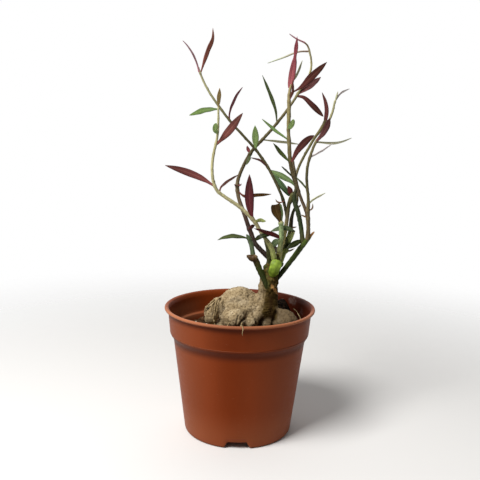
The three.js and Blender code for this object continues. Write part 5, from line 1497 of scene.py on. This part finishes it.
def studio_floor():
    """A matt pale floor that fades out to nothing towards its edge, so that no horizon shows."""
    material, tree, shader = new_material("matt_pale_floor", 0.9, ior=1.5)
    feed(tree, shader, {"Base Color": linear("#DCDAD7")})
    far = add(tree, "VectorMath", {0: add(tree, "TexCoord").outputs["Object"]}, operation="LENGTH")
    fade = add(tree, "MapRange", {"Value": far, "From Min": 0.12, "From Max": 0.6},
               interpolation_type="SMOOTHSTEP")
    mixed = add(tree, "MixShader", {0: fade, 1: shader, 2: add(tree, "BsdfTransparent")})
    feed(tree, tree.nodes["Material Output"], {"Surface": mixed})
    return material


def surround(look):
    """The room's light: bright behind the plant, dim in front of it, and a little brighter at the
    left than at the right."""
    world = bpy.data.worlds.new("studio")
    world.use_nodes = True
    tree = world.node_tree
    towards = add(tree, "TexCoord").outputs["Generated"]
    back = add(tree, "VectorMath", {0: towards, 1: (0, 1, 0)}, operation="DOT_PRODUCT")
    behind = add(tree, "MapRange", {"Value": back, "From Min": 0.15, "From Max": 0.75},
                 interpolation_type="SMOOTHSTEP")
    left = add(tree, "VectorMath", {0: towards, 1: (-1, 0, 0)}, operation="DOT_PRODUCT")
    aside = add(tree, "MapRange", {
        "Value": left, "From Min": -1, "To Min": look.shade * 0.75, "To Max": look.shade * 1.5})
    level = add(tree, "Mix", {0: behind, 2: aside, 3: look.surround})
    feed(tree, tree.nodes["Background"], {"Color": (1, 1, 1, 1), "Strength": level})
    return world


class PLANT_OT_stage(bpy.types.Operator):
    """Set the camera, the floor, the surround and the soft light"""

    bl_idname = "plant.stage"
    bl_label = "Studio"

    def execute(self, context):
        look = context.scene.plant_stage
        scene = context.scene
        scene.view_settings.view_transform = "Standard"
        scene.world = surround(look)
        camera = bpy.data.objects.new("camera", bpy.data.cameras.new("camera"))
        camera.data.sensor_width = 36
        camera.data.lens = FOCAL_PIXELS / PICTURE_SIZE * camera.data.sensor_width
        turned = np.column_stack([TO_RIGHT, TO_TOP, -FORWARD])
        camera.matrix_world = Matrix.Translation((EYE + POT_AXIS) * MM) @ Matrix(turned.tolist()).to_4x4()
        scene.camera = camera

        half = look.floor_size / 2
        mesh = bpy.data.meshes.new("floor")
        corners = [(-half, -half, 0), (half, -half, 0), (half, half, 0), (-half, half, 0)]
        mesh.from_pydata(corners, [], [(0, 1, 2, 3)])
        mesh.materials.append(studio_floor())
        floor = bpy.data.objects.new("floor", mesh)

        light = bpy.data.lights.new("key", "AREA")
        light.size, light.energy = look.key_size, look.key_power
        key = bpy.data.objects.new("key", light)
        key.location = KEY_PLACE
        key.rotation_euler = (Vector(KEY_AIM) - key.location).to_track_quat("-Z", "Y").to_euler()
        for staged in (camera, floor, key):
            scene.collection.objects.link(staged)
        return {"FINISHED"}


STEPS = (
    PLANT_OT_stage, PLANT_OT_pot, PLANT_OT_soil, PLANT_OT_tuber, PLANT_OT_roots,
    PLANT_OT_leafy_stems, PLANT_OT_cut_branches, PLANT_OT_young_leaf,
)
LOOKS = {
    "plant_pot": PotLook, "plant_soil": SoilLook, "plant_tuber": TuberLook, "plant_stems": StemLook,
    "plant_stage": StageLook,
}


class PLANT_PT_panel(bpy.types.Panel):
    """Lists the plant's steps and their sizes and colours"""

    bl_label = "Potted Monadenium"
    bl_idname = "PLANT_PT_panel"
    bl_space_type = "VIEW_3D"
    bl_region_type = "UI"
    bl_category = "Plant"

    def draw(self, context):
        for step in STEPS:
            self.layout.operator(step.bl_idname)
        for name, look in LOOKS.items():
            box = self.layout.box()
            for setting in look.__annotations__:
                box.prop(getattr(context.scene, name), setting)


def register():
    for kind in (*LOOKS.values(), *STEPS, PLANT_PT_panel):
        bpy.utils.register_class(kind)
    for name, look in LOOKS.items():
        setattr(bpy.types.Scene, name, bpy.props.PointerProperty(type=look))


def unregister():
    for name in LOOKS:
        delattr(bpy.types.Scene, name)
    for kind in reversed((*LOOKS.values(), *STEPS, PLANT_PT_panel)):
        bpy.utils.unregister_class(kind)


def main():
    register()
    for step in STEPS:
        group, name = step.bl_idname.split(".")
        getattr(getattr(bpy.ops, group), name)()


if __name__ == "__main__":
    main()
